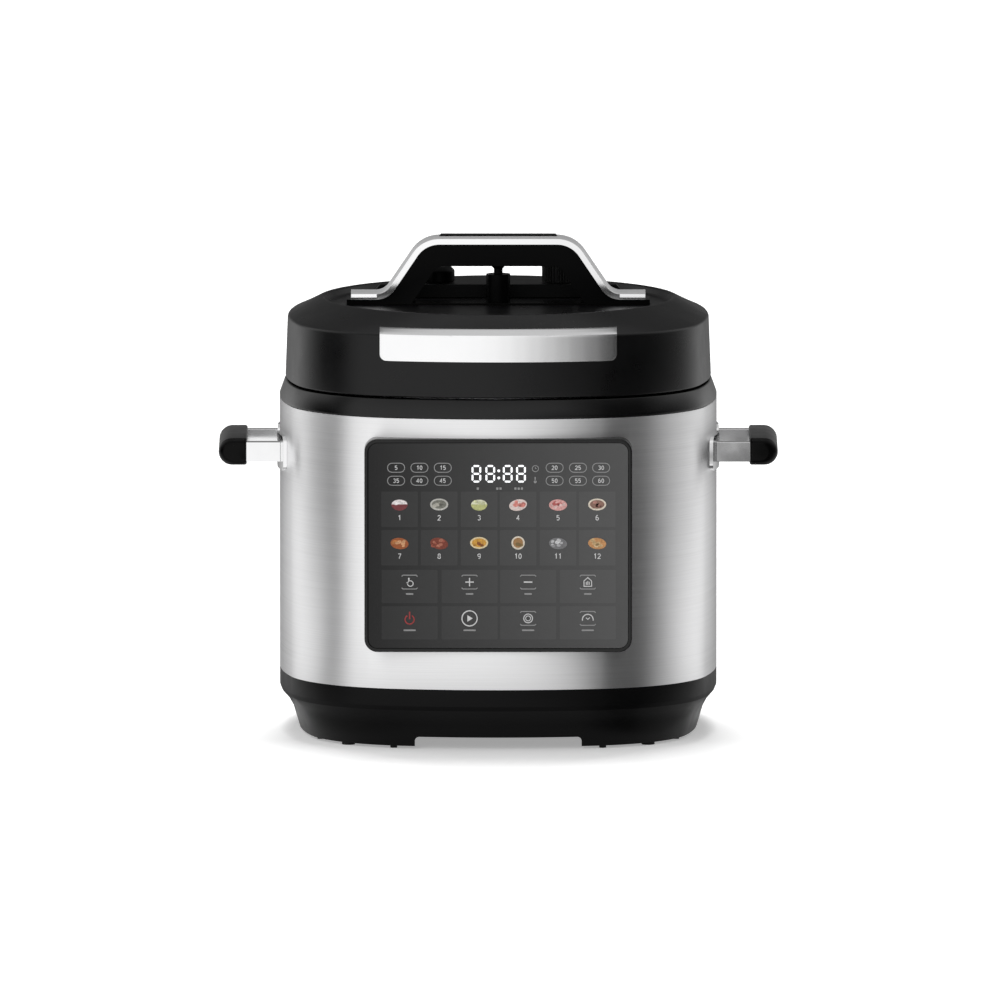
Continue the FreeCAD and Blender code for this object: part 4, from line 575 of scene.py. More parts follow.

# Coil springs, copied from their own solids in place of the nodes; the still body and the piece that presses
# on each are listed, but nothing makes them shorten
for name, node, still, pressed in (("button_coil", "button_spring", "lid", "release"),
                                   ("sensor_coil", "sensor_spring", "base", "sensor")):
    coil = placed(name, nodes[node].data.copy())
    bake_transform(coil)
    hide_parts(node)

# Silver strap of the lid handle, with a top that bulges a little from its front edge to its middle
STRAP_HALF, STRAP_KNEE, STRAP_TOP_HALF, STRAP_FOOT_Z, STRAP_LOW_Z = 101.0, 75.6, 49.9, 296.3, 334.3
STRAP_THICK, STRAP_BULGE, STRAP_EDGE = 4.0, 1.3, 14.0
STRAP_BENDS = (16.0, 18.0, 18.0, 16.0)
STRAP_STATIONS = [0.25, 0.5, 0.68, 0.82, 0.93, 1.0]
BUTTON_HALF, BUTTON_DEEP, BUTTON_LOW, BUTTON_HIGH, BUTTON_ROUND = 40.5, 5.5, 329.8, 345.0, 1.0
BEND_STEPS = 12


def bent_path(corners, radii):
    """Points along a path with rounded corners, each with the direction square to it."""
    corners = [Vector(corner) for corner in corners]
    places = []
    for before, corner, after, radius in zip(corners, corners[1:], corners[2:], radii):
        run_in, run_out = (corner - before).normalized(), (after - corner).normalized()
        turn = math.atan2(run_in.x * run_out.y - run_in.y * run_out.x, run_in.dot(run_out))
        reach = math.copysign(radius, turn)
        square = Vector((-run_in.y, run_in.x))
        centre = corner - run_in * radius * math.tan(abs(turn) / 2) + square * reach
        for i in range(BEND_STEPS + 1):
            a = turn * i / BEND_STEPS
            out = Vector((square.x * math.cos(a) - square.y * math.sin(a),
                          square.x * math.sin(a) + square.y * math.cos(a)))
            places.append((centre - out * reach, out))
    return [(corners[0], places[0][1]), *places, (corners[-1], places[-1][1])]


strap_path = bent_path(
    [(-STRAP_HALF, STRAP_FOOT_Z), (-STRAP_KNEE, STRAP_FOOT_Z), (-STRAP_TOP_HALF, STRAP_LOW_Z),
     (STRAP_TOP_HALF, STRAP_LOW_Z), (STRAP_KNEE, STRAP_FOOT_Z), (STRAP_HALF, STRAP_FOOT_Z)], STRAP_BENDS)
strap_rings = []
for share in [-s for s in reversed(STRAP_STATIONS)] + [0.0] + STRAP_STATIONS:
    thick = STRAP_THICK + STRAP_BULGE * (1 - share * share)
    outline = [p for p, _ in strap_path] + [p + out * thick for p, out in reversed(strap_path)]
    strap_rings.append([Vector((p.x, share * STRAP_EDGE, p.y)) for p in outline])
strap = ring_solid("handle_trim", strap_rings, closed=False)
button_outline = rounded_outline((-BUTTON_HALF, BUTTON_LOW), (BUTTON_HALF, BUTTON_HIGH), BUTTON_ROUND)
carve(strap, slab("button_way", button_outline, -BUTTON_DEEP, BUTTON_DEEP))
smooth(soften(strap, 0.45, 3, 40.0), FLAT_ANGLE)
wear(strap, STRAP_SILVER, "handle_strap")

# Side grips: half-round outside, flat towards the body, drawn in at both ends
GRIP_IN, GRIP_OUT, GRIP_Z, GRIP_TALL, GRIP_LONG = 172.3, 191.8, 194.7, 9.25, 47.0
GRIP_END, GRIP_LIP = 7.0, 1.6
GRIP_TAPER, GRIP_NEAR_TAPER = 0.55, 0.2
GRIP_STEPS, GRIP_ARC_STEPS = 8, 20


def grip_section(y, inset, sign):
    """Outline of the grip at a place along it, drawn in from its full size by an inset."""
    tall, reach = GRIP_TALL - inset * GRIP_TAPER, GRIP_OUT - inset
    near = GRIP_IN + inset * GRIP_NEAR_TAPER
    lip = GRIP_LIP
    points = [(near, -tall + lip), (near, tall - lip)]
    points += [(near + lip * (1 - math.cos(a)), tall - lip + lip * math.sin(a))
               for a in (math.pi / 6, math.pi / 3, math.pi / 2)]
    points += [(reach - tall + tall * math.sin(a), tall * math.cos(a))
               for a in (math.pi * i / GRIP_ARC_STEPS for i in range(GRIP_ARC_STEPS + 1))]
    points += [(near + lip * (1 - math.sin(a)), -tall + lip - lip * math.cos(a))
               for a in (0, math.pi / 6, math.pi / 3)]
    return [Vector((sign * x, y, GRIP_Z + z)) for x, z in points]


for side, sign in zip(("left", "right"), SIDES):
    ends = [(GRIP_END * (1 - math.cos(a)), GRIP_END * (1 - math.sin(a)))
            for a in (math.pi / 2 * i / GRIP_STEPS for i in range(GRIP_STEPS + 1))]
    stations = [(-GRIP_LONG + along, inset) for along, inset in ends]
    stations += [(-y, inset) for y, inset in reversed(stations)]
    grip = ring_solid(side + "_grip", [grip_section(y, inset, sign) for y, inset in stations], closed=False)
    wear(smooth(grip, 40), GRIP_BLACK, side + "_handle_grip")

# Panel: glossy frame and the printed touch glass
frame_outline = panel_outline(0.0)
recess_outline = panel_outline(GLASS_BORDER - GLASS_GAP)
panel_frame = ring_solid("panel_frame", [
    [Vector((x, y, z)) for x, z in outline] for outline, y in (
        (frame_outline, PANEL_BACK), (frame_outline, PANEL_FRONT), (recess_outline, PANEL_FRONT),
        (recess_outline, PANEL_FRONT + RECESS_DEPTH))], closed=False)
soften(panel_frame, 0.55, 3)
wear(panel_frame, GLOSS_BLACK, "panel_housing")


def glass_paint(name, left, right):
    """Dark printed glass with a painted reflection that makes its colour a little paler towards its right
    side.
    """
    paint = Paint(name, left, 0.11, Specular_IOR_Level=0.28)
    split = paint.node("ShaderNodeSeparateXYZ")
    paint.join(paint.coords, split.inputs[0])
    across = paint.spread(split.outputs["X"], 0.0, 1.0, -PANEL_HALF * MM, PANEL_HALF * MM)
    paint.link(paint.ramp(across, (left,) * 3, (right,) * 3, 0.0, 1.0), "Base Color")
    paint.link(paint.spread(paint.noise((35, 35, 35)), 0.09, 0.14), "Roughness")
    return paint.material


# Glass and key fields both carry the painted reflection: colour paler towards the right
GLASS = glass_paint("panel_glass", 0.004, 0.078)
KEY_INK = glass_paint("key_ink", 0.0155, 0.090)
glass = slab("touch_glass", panel_outline(GLASS_BORDER), GLASS_FRONT, GLASS_FRONT + GLASS_THICK)
smooth(soften(glass, 0.2, 2), FLAT_ANGLE)
wear(glass, GLASS, "panel_glass")

# Prints on the glass, placed in pixels of the picture and turned into millimetres
PIXEL = 0.687
AXIS_PX = 498.3
FRONT_ROW = 750.9
ROW_SCALE = 1.446
MITRE_LEAST = 0.4


def panel_xz(px, py):
    return (px - AXIS_PX) * PIXEL, (FRONT_ROW - py) / ROW_SCALE


def grid(xs, ys):
    """Places row by row."""
    return [(x, y) for y in ys for x in xs]


class Print:
    """Collects flat printed shapes and makes one thin solid piece of them."""

    def __init__(self, lift=0.0):
        self.bm = bmesh.new()
        self.lift = lift
        self.colors = []

    def fill(self, points, color=None):
        """A printed area with this outline."""
        front = GLASS_FRONT - self.lift - PRINT_DEPTH
        back = GLASS_FRONT + PRINT_SINK
        area = sum(x0 * z1 - x1 * z0 for (x0, z0), (x1, z1) in zip(points, points[1:] + points[:1]))
        points = list(points) if area > 0 else list(reversed(points))
        fronts = [self.bm.verts.new((x, front, z)) for x, z in points]
        backs = [self.bm.verts.new((x, back, z)) for x, z in points]
        faces = [self.bm.faces.new(fronts), self.bm.faces.new(list(reversed(backs)))]
        count = len(points)
        for i in range(count):
            j = (i + 1) % count
            faces.append(self.bm.faces.new((fronts[j], fronts[i], backs[i], backs[j])))
        self.colors += [color] * len(faces)

    def line(self, points, width, closed=False):
        """A printed stroke of even width along points."""
        points = [Vector(p) for p in points]
        count = len(points)
        left, right = [], []
        for i, p in enumerate(points):
            before = points[i - 1] if closed or i else p
            after = points[(i + 1) % count] if closed or i < count - 1 else p
            run_in = (p - before).normalized() if (p - before).length else (after - p).normalized()
            run_out = (after - p).normalized() if (after - p).length else run_in
            mean = (run_in + run_out).normalized()
            side = Vector((-mean.y, mean.x)) * (width / 2 / max(MITRE_LEAST, mean.dot(run_in)))
            left.append(p + side)
            right.append(p - side)
        for i in range(count if closed else count - 1):
            j = (i + 1) % count
            self.fill([tuple(left[i]), tuple(right[i]), tuple(right[j]), tuple(left[j])])

    def oval(self, x, z, rx, rz, color=None, steps=20, turn=0.0):
        self.fill(ellipse(x, z, rx, rz, steps, turn), color)

    def bar(self, x, z, wide, tall, radius, steps):
        self.fill(rounded_outline((x - wide, z - tall), (x + wide, z + tall), radius, steps))

    def ring(self, x, z, radius, width, start=0, end=360, steps=28):
        points = arc(x, z, radius, radius, start, end, steps)
        closed = end - start == 360
        self.line(points[:-1] if closed else points, width, closed)

    def done(self, name, paint):
        """Make the piece, with its printed colours where it has any."""
        obj = to_object(name, self.bm)
        if any(self.colors):
            layer = obj.data.color_attributes.new("print", "FLOAT_COLOR", "CORNER")
            for polygon, color in zip(obj.data.polygons, self.colors):
                for loop in polygon.loop_indices:
                    layer.data[loop].color = (*color, 1.0)
        obj.data.materials.append(paint)
        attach(obj, "base")


def arc(x, z, rx, rz, start, end, steps, turn=0.0):
    """Points of an ellipse's arc, angles in degrees from +X."""
    points = []
    tilt = math.radians(turn)
    for i in range(steps + 1):
        a = math.radians(start + (end - start) * i / steps)
        u, v = rx * math.cos(a), rz * math.sin(a)
        points.append((x + u * math.cos(tilt) - v * math.sin(tilt),
                       z + u * math.sin(tilt) + v * math.cos(tilt)))
    return points


def ellipse(x, z, rx, rz, steps, turn=0.0):
    return arc(x, z, rx, rz, 0, 360, steps, turn)[:-1]


def ink(name, color, glow=0.0):
    """Printing ink, or a lit segment where it glows."""
    paint = Paint(name, color, 0.4, Specular_IOR_Level=0.3, Emission_Color=(*color, 1.0),
                  Emission_Strength=glow)
    paint.vary(paint.noise((400, 400, 400)), 0.05, 0.04)
    return paint.material


WHITE_INK = ink("white_ink", (0.62, 0.62, 0.62))
GREY_INK = ink("grey_ink", (0.27, 0.27, 0.27))
RED_INK = ink("red_ink", (0.30, 0.035, 0.035))
LED_WHITE = ink("led_white", (0.92, 0.93, 0.95), 0.55)

# Key fields, a touch paler than the glass
PICTURE_SPOTS = grid((400.2, 439.6, 479.3, 518.0, 557.7, 596.6), (503.8, 542.0))
PICTURE_KEY, PICTURE_DROP = (36.4, 35.2), 4.8
FUNCTION_SPOTS = grid((410.2, 469.8, 528.0, 587.3), (580.9, 617.0))
FUNCTION_KEY, FUNCTION_DROP = (55.6, 33.0), 4.4
KEY_ROUND, KEY_LIFT = 0.8, -0.09


def pixel_box(cx, cy, width, height, radius):
    """Rounded outline in millimetres of a box given in pixels."""
    x0, z0 = panel_xz(cx - width / 2, cy + height / 2)
    x1, z1 = panel_xz(cx + width / 2, cy - height / 2)
    return rounded_outline((x0, z0), (x1, z1), radius, 4)


keys = Print(KEY_LIFT)
for px, py in PICTURE_SPOTS:
    keys.fill(pixel_box(px, py + PICTURE_DROP, *PICTURE_KEY, KEY_ROUND))
for px, py in FUNCTION_SPOTS:
    keys.fill(pixel_box(px, py + FUNCTION_DROP, *FUNCTION_KEY, KEY_ROUND))
keys.done("key_fields", KEY_INK)

# Display: four figures with all seven segments lit; each segment joins two places of a box one wide and high
SEGMENTS = ((0, 1, 1, 1), (1, 1, 1, 0.5), (1, 0.5, 1, 0), (0, 0, 1, 0), (0, 0.5, 0, 0), (0, 1, 0, 0.5),
            (0, 0.5, 1, 0.5))
DIGIT_X, DIGIT_Y = (476.6, 490.4, 507.7, 520.9), 473.3
DIGIT_WIDE, DIGIT_TALL, DIGIT_STROKE, DIGIT_GAP = 5.3, 10.7, 1.3, 0.5
COLON_X, COLON_Y, COLON_R = 498.8, (470.4, 477.4), 0.95


def lit_figure(target, cx, cz):
    """All seven segments, strokes with pointed ends."""
    for u0, v0, u1, v1 in SEGMENTS:
        p = Vector((cx + (u0 - 0.5) * DIGIT_WIDE, cz + (v0 - 0.5) * DIGIT_TALL))
        q = Vector((cx + (u1 - 0.5) * DIGIT_WIDE, cz + (v1 - 0.5) * DIGIT_TALL))
        run = (q - p).normalized()
        side = Vector((-run.y, run.x)) * DIGIT_STROKE / 2
        p, q = p + run * DIGIT_GAP, q - run * DIGIT_GAP
        tip = run * DIGIT_STROKE / 2
        corners = (p, p + tip - side, q - tip - side, q, q - tip + side, p + tip + side)
        target.fill([tuple(corner) for corner in corners])


led = Print()
for px in DIGIT_X:
    lit_figure(led, *panel_xz(px, DIGIT_Y))
for py in COLON_Y:
    led.oval(*panel_xz(COLON_X, py), COLON_R, COLON_R)
led.done("display_digits", LED_WHITE)

# Plain figures of even strokes, in a box one high about its centre: open strokes, then closed rings
FIGURES = {
    "0": ([], [ellipse(0, 0, 0.27, 0.5, 18)]),
    "1": ([[(-0.18, 0.28), (0.06, 0.5), (0.06, -0.5)]], []),
    "2": ([arc(0, 0.22, 0.27, 0.28, 165, -25, 9) + [(-0.27, -0.5), (0.29, -0.5)]], []),
    "3": ([arc(-0.02, 0.26, 0.25, 0.24, 150, -90, 9) + arc(-0.02, -0.24, 0.29, 0.26, 90, -150, 10)], []),
    "4": ([[(0.12, -0.5), (0.12, 0.5), (-0.29, -0.2), (0.3, -0.2)]], []),
    "5": ([[(0.24, 0.5), (-0.2, 0.5), (-0.24, 0.06)] + arc(-0.01, -0.18, 0.28, 0.32, 130, -145, 10)], []),
    "6": ([arc(0.02, -0.1, 0.29, 0.6, 68, 180, 9)], [ellipse(0, -0.2, 0.27, 0.3, 16)]),
    "7": ([[(-0.27, 0.5), (0.27, 0.5), (-0.08, -0.5)]], []),
    "8": ([], [ellipse(0, 0.26, 0.23, 0.24, 16), ellipse(0, -0.24, 0.27, 0.26, 16)]),
    "9": ([arc(-0.02, 0.1, 0.29, 0.6, 248, 360, 9)], [ellipse(0, 0.2, 0.27, 0.3, 16)]),
}
FIGURE_PITCH = 0.84


def number(target, value, px, py, height, stroke):
    """A small plain number centred on a place of the panel."""
    cx, cz = panel_xz(px, py)
    text = str(value)
    for i, char in enumerate(text):
        x = cx + (i - (len(text) - 1) / 2) * FIGURE_PITCH * height
        strokes, rings = FIGURES[char]
        for points in strokes:
            target.line([(x + u * height, cz + v * height) for u, v in points], stroke)
        for points in rings:
            target.line([(x + u * height, cz + v * height) for u, v in points], stroke, closed=True)


# Fields of minutes, dots under the display, a clock, a thermometer and the numbers of the picture keys
FIELD_SPOTS = grid((396.8, 420.0, 443.2, 554.3, 577.5, 600.5), (467.3, 480.2))
FIELD_SIZE, FIELD_ROUND, FIELD_LINE = (17.0, 9.0), 3.05, 0.5
FIELD_FIGURE, KEY_FIGURE, KEY_FIGURE_DROP = (2.6, 0.42), (3.2, 0.5), 13.2
MINUTES = range(5, 65, 5)
DOT_X, DOT_Y, DOT_PITCH = (478.0, 499.0, 518.6), 488.0, 3.2
DOT_WIDE, DOT_TALL, DOT_ROUND = 0.75, 0.8, 0.3
CLOCK_PX, THERMOMETER_PX = (535.2, 468.2), (535.0, 479.3)
marks = Print()
greys = Print()
reds = Print()
for value, (px, py) in zip(MINUTES, FIELD_SPOTS):
    greys.line(pixel_box(px, py, *FIELD_SIZE, FIELD_ROUND), FIELD_LINE, closed=True)
    number(marks, value, px, py, *FIELD_FIGURE)
for i, px in enumerate(DOT_X):
    for step in range(i + 1):
        greys.bar(*panel_xz(px + (step - i / 2) * DOT_PITCH, DOT_Y), DOT_WIDE, DOT_TALL, DOT_ROUND, 3)
cx, cz = panel_xz(*CLOCK_PX)
greys.ring(cx, cz, 2.1, 0.45)
greys.line([(cx, cz + 1.2), (cx, cz), (cx + 0.9, cz)], 0.4)
cx, cz = panel_xz(*THERMOMETER_PX)
greys.line([(cx, cz + 2.0), (cx, cz - 1.0)], 0.8)
greys.oval(cx, cz - 1.3, 1.0, 1.0)
for i, (px, py) in enumerate(PICTURE_SPOTS, start=1):
    number(marks, i, px, py + KEY_FIGURE_DROP, *KEY_FIGURE)

# Function keys: a sign on each, between brackets where it isn't power or start, with a plain bar under it
BRACKET_EDGE, BRACKET_TIP, BRACKET_HALF, BRACKET_END, BRACKET_LINE = 4.75, 3.9, 4.5, 5.4, 0.6
BAR_HALVES = [2.6] * 4 + [4.2] * 4
BAR_DROP, BAR_TALL, BAR_ROUND = 11.8, 0.55, 0.5
hand, plus, minus, house, power, start, rings, timer = [panel_xz(*spot) for spot in FUNCTION_SPOTS]
for (px, py), half in zip(FUNCTION_SPOTS, BAR_HALVES):
    cx, cz = panel_xz(px, py)
    if (cx, cz) not in (power, start):
        for sign in SIDES:
            edge, tip = cz + sign * BRACKET_EDGE, cz + sign * BRACKET_TIP
            greys.line([(cx - BRACKET_END, tip), (cx - BRACKET_HALF, edge), (cx + BRACKET_HALF, edge),
                        (cx + BRACKET_END, tip)], BRACKET_LINE)
    greys.bar(*panel_xz(px, py + BAR_DROP), half, BAR_TALL, BAR_ROUND, 4)

# Signs, in millimetres about their centres
cx, cz = hand
marks.ring(cx + 0.5, cz - 1.0, 1.9, 0.55)
marks.line([(cx - 0.5, cz + 0.6), (cx - 0.5, cz + 2.9)], 0.9)
marks.line([(cx - 2.0, cz - 0.2), (cx - 1.0, cz - 0.9)], 0.8)
cx, cz = plus
marks.line([(cx - 2.9, cz), (cx + 2.9, cz)], 0.75)
marks.line([(cx, cz - 2.9), (cx, cz - 0.375)], 0.75)
marks.line([(cx, cz + 0.375), (cx, cz + 2.9)], 0.75)
cx, cz = minus
marks.line([(cx - 2.9, cz), (cx + 2.9, cz)], 0.85)
cx, cz = house
marks.line([(cx - 2.6, cz - 2.9), (cx - 2.6, cz + 0.8), (cx, cz + 3.1), (cx + 2.6, cz + 0.8),
            (cx + 2.6, cz - 2.9)], 0.55, closed=True)
for step in (-1, 0, 1):
    marks.line([(cx + step * 1.0, cz - 1.9), (cx + step * 1.0, cz + 0.2 + 0.5 * (1 - abs(step)))], 0.5)
cx, cz = power
reds.ring(cx, cz - 0.8, 3.1, 0.85, 120, 420)
reds.line([(cx, cz + 4.6), (cx, cz - 0.6)], 0.95)
cx, cz = start
marks.ring(cx, cz, 5.2, 0.75, steps=40)
marks.fill([(cx - 1.5, cz - 2.3), (cx + 2.2, cz), (cx - 1.5, cz + 2.3)])
cx, cz = rings
marks.ring(cx, cz, 3.0, 0.6)
marks.ring(cx, cz, 1.7, 0.5)
cx, cz = timer
marks.ring(cx, cz - 0.9, 3.7, 0.65, -10, 190)
marks.line([(cx - 1.2, cz + 0.4), (cx, cz - 0.7), (cx + 1.4, cz + 0.6)], 0.5)
marks.done("white_marks", WHITE_INK)
greys.done("grey_marks", GREY_INK)
reds.done("red_marks", RED_INK)

# Dish pictures of a generic kind: a bowl, plate or mound with a few helpings on it, in three colours each
CREAM = (0.78, 0.70, 0.58)
PLATE_HALF, PLATE_TALL, ROUND_PLATE = 6.2, 4.1, 4.6
DISHES = [
    ("bowl", (0.20, 0.045, 0.05), (0.86, 0.80, 0.79), (0.90, 0.86, 0.85)),
    ("plate", (0.55, 0.54, 0.50), (0.20, 0.20, 0.17), (0.62, 0.60, 0.52)),
    ("bowl", (0.55, 0.57, 0.24), (0.83, 0.83, 0.62), (0.74, 0.76, 0.45)),
    ("mound", (0.80, 0.66, 0.62), (0.58, 0.13, 0.11), (0.72, 0.26, 0.22)),
    ("mound", (0.74, 0.38, 0.36), (0.60, 0.15, 0.14), (0.86, 0.58, 0.55)),
    ("plate", CREAM, (0.30, 0.17, 0.13), (0.50, 0.24, 0.20)),
    ("mound", (0.36, 0.10, 0.03), (0.55, 0.20, 0.06), (0.68, 0.36, 0.18)),
    ("mound", (0.22, 0.05, 0.03), (0.42, 0.11, 0.07), (0.55, 0.20, 0.13)),
    ("plate", (0.80, 0.66, 0.40), (0.70, 0.36, 0.06), (0.42, 0.14, 0.04)),
    ("round", CREAM, (0.40, 0.22, 0.09), (0.30, 0.20, 0.08)),
    ("mound", (0.20, 0.20, 0.205), (0.42, 0.42, 0.43), (0.74, 0.74, 0.75)),
    ("mound", (0.60, 0.30, 0.12), (0.70, 0.48, 0.24), (0.80, 0.62, 0.38)),
]
dice = random.Random(5)
pictures = Print()
tops = Print(0.012)
for (kind, under, main, light), spot in zip(DISHES, PICTURE_SPOTS):
    cx, cz = panel_xz(*spot)
    if kind == "bowl":
        pictures.fill(arc(cx, cz + 0.2, 5.6, 4.4, 180, 360, 16), under)
        tops.fill(arc(cx, cz + 0.1, 5.4, 3.2, 0, 180, 14), main)
        spots, reach, rise = 5, 3.4, (0.7, 1.9)
    elif kind == "mound":
        pictures.oval(cx, cz - 0.4, PLATE_HALF, 3.9, under, turn=dice.uniform(-12, 12))
        spots, reach, rise = 9, 4.2, (-2.3, 2.0)
    else:
        half, tall = (ROUND_PLATE, ROUND_PLATE) if kind == "round" else (PLATE_HALF, PLATE_TALL)
        pictures.oval(cx, cz, half, tall, under)
        tops.oval(cx, cz + 0.1, half - 1.2, tall - 1.1, main)
        spots, reach, rise = 7, half - 2.6, (-1.6, 1.6)
    for _ in range(spots):
        shade = dice.choice((main, light, light))
        x = cx + dice.uniform(-reach, reach)
        z = cz + dice.uniform(*rise)
        size = dice.uniform(0.7, 1.35)
        dim = dice.uniform(0.75, 1.1)
        tops.lift = dice.uniform(0.014, 0.034)
        tops.oval(x, z, size * 1.35, size, [min(1.0, c * dim) for c in shade], 10, dice.uniform(-30, 30))


def picture_paint():
    """Ink that takes its colour from each printed shape, with a fine mottle."""
    paint = Paint("picture_ink", (0.5, 0.5, 0.5), 0.4, Specular_IOR_Level=0.3)
    stored = paint.node("ShaderNodeVertexColor", layer_name="print")
    mixed = paint.node("ShaderNodeMix", data_type="RGBA", blend_type="MULTIPLY")
    mixed.inputs["Factor"].default_value = 1.0
    paint.join(stored.outputs["Color"], mixed.inputs["A"])
    mottle = paint.ramp(paint.noise((900, 900, 900)), (0.62, 0.62, 0.62), (1.0, 1.0, 1.0))
    paint.join(mottle, mixed.inputs["B"])
    paint.link(mixed.outputs["Result"], "Base Color")
    paint.link(paint.spread(paint.noise((300, 300, 300)), 0.36, 0.46), "Roughness")
    return paint.material


PICTURE_INK = picture_paint()
pictures.done("dish_pictures", PICTURE_INK)
tops.done("dish_toppings", PICTURE_INK)

# Stage: white floor and surroundings, soft lamps and dark cards that shape the reflections
WHITE = (1.0, 1.0, 1.0, 1.0)
AMBIENT = 0.38
FLOOR_HALF, FLOOR_SHADE, FLOOR_GLOW = 30000.0, 0.90, 0.34
SUN_STRENGTH, SUN_SPREAD, SUN_FROM = 2.8, 31, (0.0, 0.80, 2.0)
scene = bpy.context.scene
scene.view_settings.view_transform = "Standard"


def seen_share(tree):
    """1 for rays from the camera, from mirrors and through glass, else 0."""
    path = tree.nodes.new("ShaderNodeLightPath")
    total = path.outputs["Is Camera Ray"]
    for name in ("Is Glossy Ray", "Is Transmission Ray"):
        add = tree.nodes.new("ShaderNodeMath")
        add.operation = "MAXIMUM"
        tree.links.new(total, add.inputs[0])
        tree.links.new(path.outputs[name], add.inputs[1])
        total = add.outputs[0]
    return total


world = bpy.data.worlds.new("studio")
scene.world = world
world.use_nodes = True
world.cycles.sampling_method = "NONE"
sky = world.node_tree
backdrop = sky.nodes["Background"]
backdrop.inputs["Color"].default_value = WHITE
level = sky.nodes.new("ShaderNodeMapRange")
level.inputs["To Min"].default_value = AMBIENT
level.inputs["To Max"].default_value = 1.0
sky.links.new(seen_share(sky), level.inputs["Value"])
sky.links.new(level.outputs["Result"], backdrop.inputs["Strength"])

floor_bm = bmesh.new()
bmesh.ops.create_grid(floor_bm, x_segments=2, y_segments=2, size=FLOOR_HALF)
floor = to_object("floor", floor_bm)
floor_paint = Paint("floor", (FLOOR_SHADE,) * 3, 0.9, Emission_Color=WHITE)
floor_paint.vary(floor_paint.noise((3, 3, 3)), 0.01, 0.03)
shine = floor_paint.node("ShaderNodeMath", operation="MULTIPLY")
floor_paint.join(seen_share(floor_paint.tree), shine.inputs[0])
shine.inputs[1].default_value = FLOOR_GLOW
floor_paint.link(shine.outputs[0], "Emission Strength")
floor.data.materials.append(floor_paint.material)


def aim(obj, place, target):
    """Put a lamp or camera at a place, turned towards a target."""
    obj.location = Vector(place)
    obj.rotation_euler = (Vector(target) - Vector(place)).to_track_quat("-Z", "Y").to_euler()


def softbox(name, place, size, watts, target=(0, 0, 0.16)):
    """Rectangular lamp that doesn't show in gloss."""
    lamp = bpy.data.lights.new(name, "AREA")
    lamp.shape = "RECTANGLE"
    lamp.size, lamp.size_y = size
    lamp.energy = watts
    obj = placed(name, lamp)
    obj.visible_camera = obj.visible_glossy = False
    aim(obj, place, target)


softbox("key", (-0.7, -1.9, 0.9), (1.4, 1.2), 10.0)
softbox("left_rim", (-1.3, 0.8, 0.5), (0.4, 1.0), 1.6)
top_light = bpy.data.lights.new("top", "SUN")
top_light.energy = SUN_STRENGTH
top_light.angle = math.radians(SUN_SPREAD)
top = placed("top", top_light)
top.visible_glossy = False
aim(top, SUN_FROM, (0.0, 0.0, 0.0))

# Dark cards in a white tent that only shows in gloss: how much each covers, by degrees from the front
BROAD = ((-180, 0.75), (-160, 0.68), (-152, 0.50), (-142, 0.12), (-136, 0.0), (-102, 0.0), (-94, 0.20),
         (-86, 0.58), (-78, 0.70), (-71, 0.52), (-65, 0.12), (-60, 0.0), (10, 0.0), (17, 0.20), (22, 0.55),
         (27, 0.85), (34, 0.93), (60, 0.93), (70, 0.80), (80, 0.58), (92, 0.28), (106, 0.05), (122, 0.0),
         (137, 0.0), (144, 0.15), (153, 0.52), (160, 0.68), (180, 0.75))
LEVEL = ((-180, 0.80), (-158, 0.75), (-140, 0.20), (-120, 0.20), (-108, 0.55), (-96, 0.92), (-86, 1.0),
         (-74, 0.95), (-62, 0.10), (-55, 0.0), (-8, 0.0), (1, 0.05), (8, 0.28), (15, 0.53), (22, 0.78),
         (27, 0.94), (60, 0.98), (75, 0.92), (90, 0.80), (105, 0.60), (118, 0.35), (132, 0.20), (142, 0.25),
         (158, 0.75), (180, 0.80))
CEILING = ((-180, 0.45), (180, 0.45))
BACK = ((-180, 0.92), (-150, 0.88), (-118, 0.0), (118, 0.0), (150, 0.88), (180, 0.92))
MAT = ((-180, 0.65), (180, 0.65))
FLAG = ((-180, 0.0), (5, 0.0), (8, 0.82), (12, 0.82), (16, 0.0), (180, 0.0))
CARDS = (BROAD, LEVEL, CEILING, BACK, MAT, FLAG)
# Distance and height in metres of each row of the tent, how far it draws the side directions in towards the
# front where it lies near the body, and the share of each card there, as far as the last one that has any;
# the flag is for the right handle bar
CARD_ROWS = (
    (0.158, 0.003, 0.33, 1.0, 0.0, 0.0, 0.0, 1.0), (0.19, 0.003, 0.48, 1.0, 0.0, 0.0, 0.0, 0.8),
    (0.25, 0.003, 0.67, 1.0), (0.40, 0.003, 0.82, 1.0), (0.60, 0.003, 0.92, 1.0, 0.1),
    (1.05, 0.003, 1.0, 1.0, 0.5), (1.05, 0.06, 1.0, 1.0, 0.9, 0.0, 0.0, 0.0, 1.0),
    (1.05, 0.09, 1.0, 1.0, 0.95, 0.0, 0.0, 0.0, 1.0), (1.05, 0.12, 1.0, 1.0, 1.0),
    (1.05, 0.30, 1.0, 1.0, 1.0, 0.0, 0.6), (1.05, 0.46, 1.0, 1.0, 0.8, 0.0, 1.0),
    (1.05, 0.65, 1.0, 1.0, 0.3, 0.1, 1.0), (1.05, 1.20, 1.0, 0.8, 0.0, 0.6, 1.0),
    (0.70, 1.40, 1.0, 0.2, 0.0, 1.0, 0.5), (0.05, 1.45, 1.0, 0.0, 0.0, 1.0))
CARD_STEP = 3
FRONT_TURN = 2 * math.degrees(JOINT)


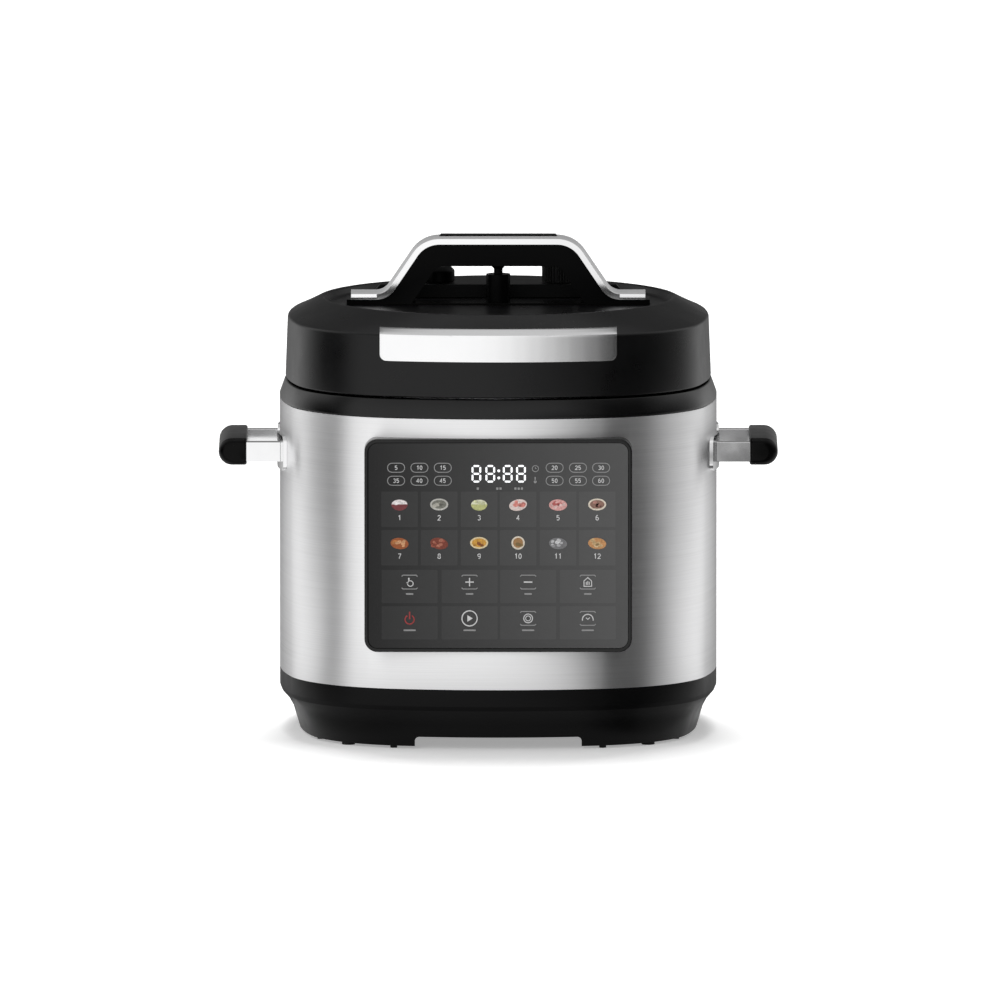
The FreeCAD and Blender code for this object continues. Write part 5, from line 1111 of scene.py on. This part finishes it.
def drawn_out(azimuth, draw):
    """Full-distance direction that the body's corners mirror at a place near the body."""
    front = min(abs(azimuth), FRONT_TURN)
    return math.copysign(min(180.0, front + (abs(azimuth) - front) / draw), azimuth)


def cover(stops, azimuth):
    """Cover at a direction, in straight runs between the stops."""
    for (a0, c0), (a1, c1) in zip(stops, stops[1:]):
        if a0 <= azimuth <= a1:
            return c0 + (c1 - c0) * (azimuth - a0) / (a1 - a0)
    return 0.0


def make_cards():
    """A tent for gloss alone: white, with dark cards that shade off to white at their edges."""
    bm = bmesh.new()
    shade = bm.verts.layers.float.new("cover")
    columns = []
    for azimuth in range(-180, 180, CARD_STEP):
        a = math.radians(azimuth)
        column = []
        for radius, z, draw, *shares in CARD_ROWS:
            vert = bm.verts.new((radius / MM * math.sin(a), -radius / MM * math.cos(a), z / MM))
            vert[shade] = max(share * cover(stops, drawn_out(azimuth, draw))
                              for share, stops in zip(shares, CARDS))
            column.append(vert)
        columns.append(column)
    for left, right in zip(columns, columns[1:] + columns[:1]):
        for i in range(len(CARD_ROWS) - 1):
            bm.faces.new((left[i], right[i], right[i + 1], left[i + 1]))
    obj = to_object("dark_cards", bm)
    paint = Paint("card_cloth", (0.01, 0.01, 0.01), 0.9, Specular_IOR_Level=0.0, Emission_Color=WHITE)
    paint.vary(paint.noise((5, 5, 5)), 0.05, 0.05)
    stored = paint.node("ShaderNodeAttribute", attribute_name="cover")
    paint.link(paint.spread(stored.outputs["Fac"], 1.0, 0.0, 0.0, 1.0), "Emission Strength")
    paint.material.cycles.emission_sampling = "NONE"
    obj.data.materials.append(paint.material)
    obj.visible_camera = obj.visible_diffuse = obj.visible_shadow = False


make_cards()

# Camera at the picture's angle: long lens, a little above the middle
camera_data = bpy.data.cameras.new("camera")
camera = placed("camera", camera_data)
FRAME_WIDTH, DISTANCE = 0.687, 24.0
ELEVATION = math.radians(6.5)
target = Vector((0.0012, 0.0, 0.1565))
camera_data.sensor_width = 36.0
camera_data.lens = camera_data.sensor_width * DISTANCE / FRAME_WIDTH
camera_data.clip_end = 200.0
aim(camera, target + DISTANCE * Vector((0, -math.cos(ELEVATION), math.sin(ELEVATION))), target)
scene.camera = camera
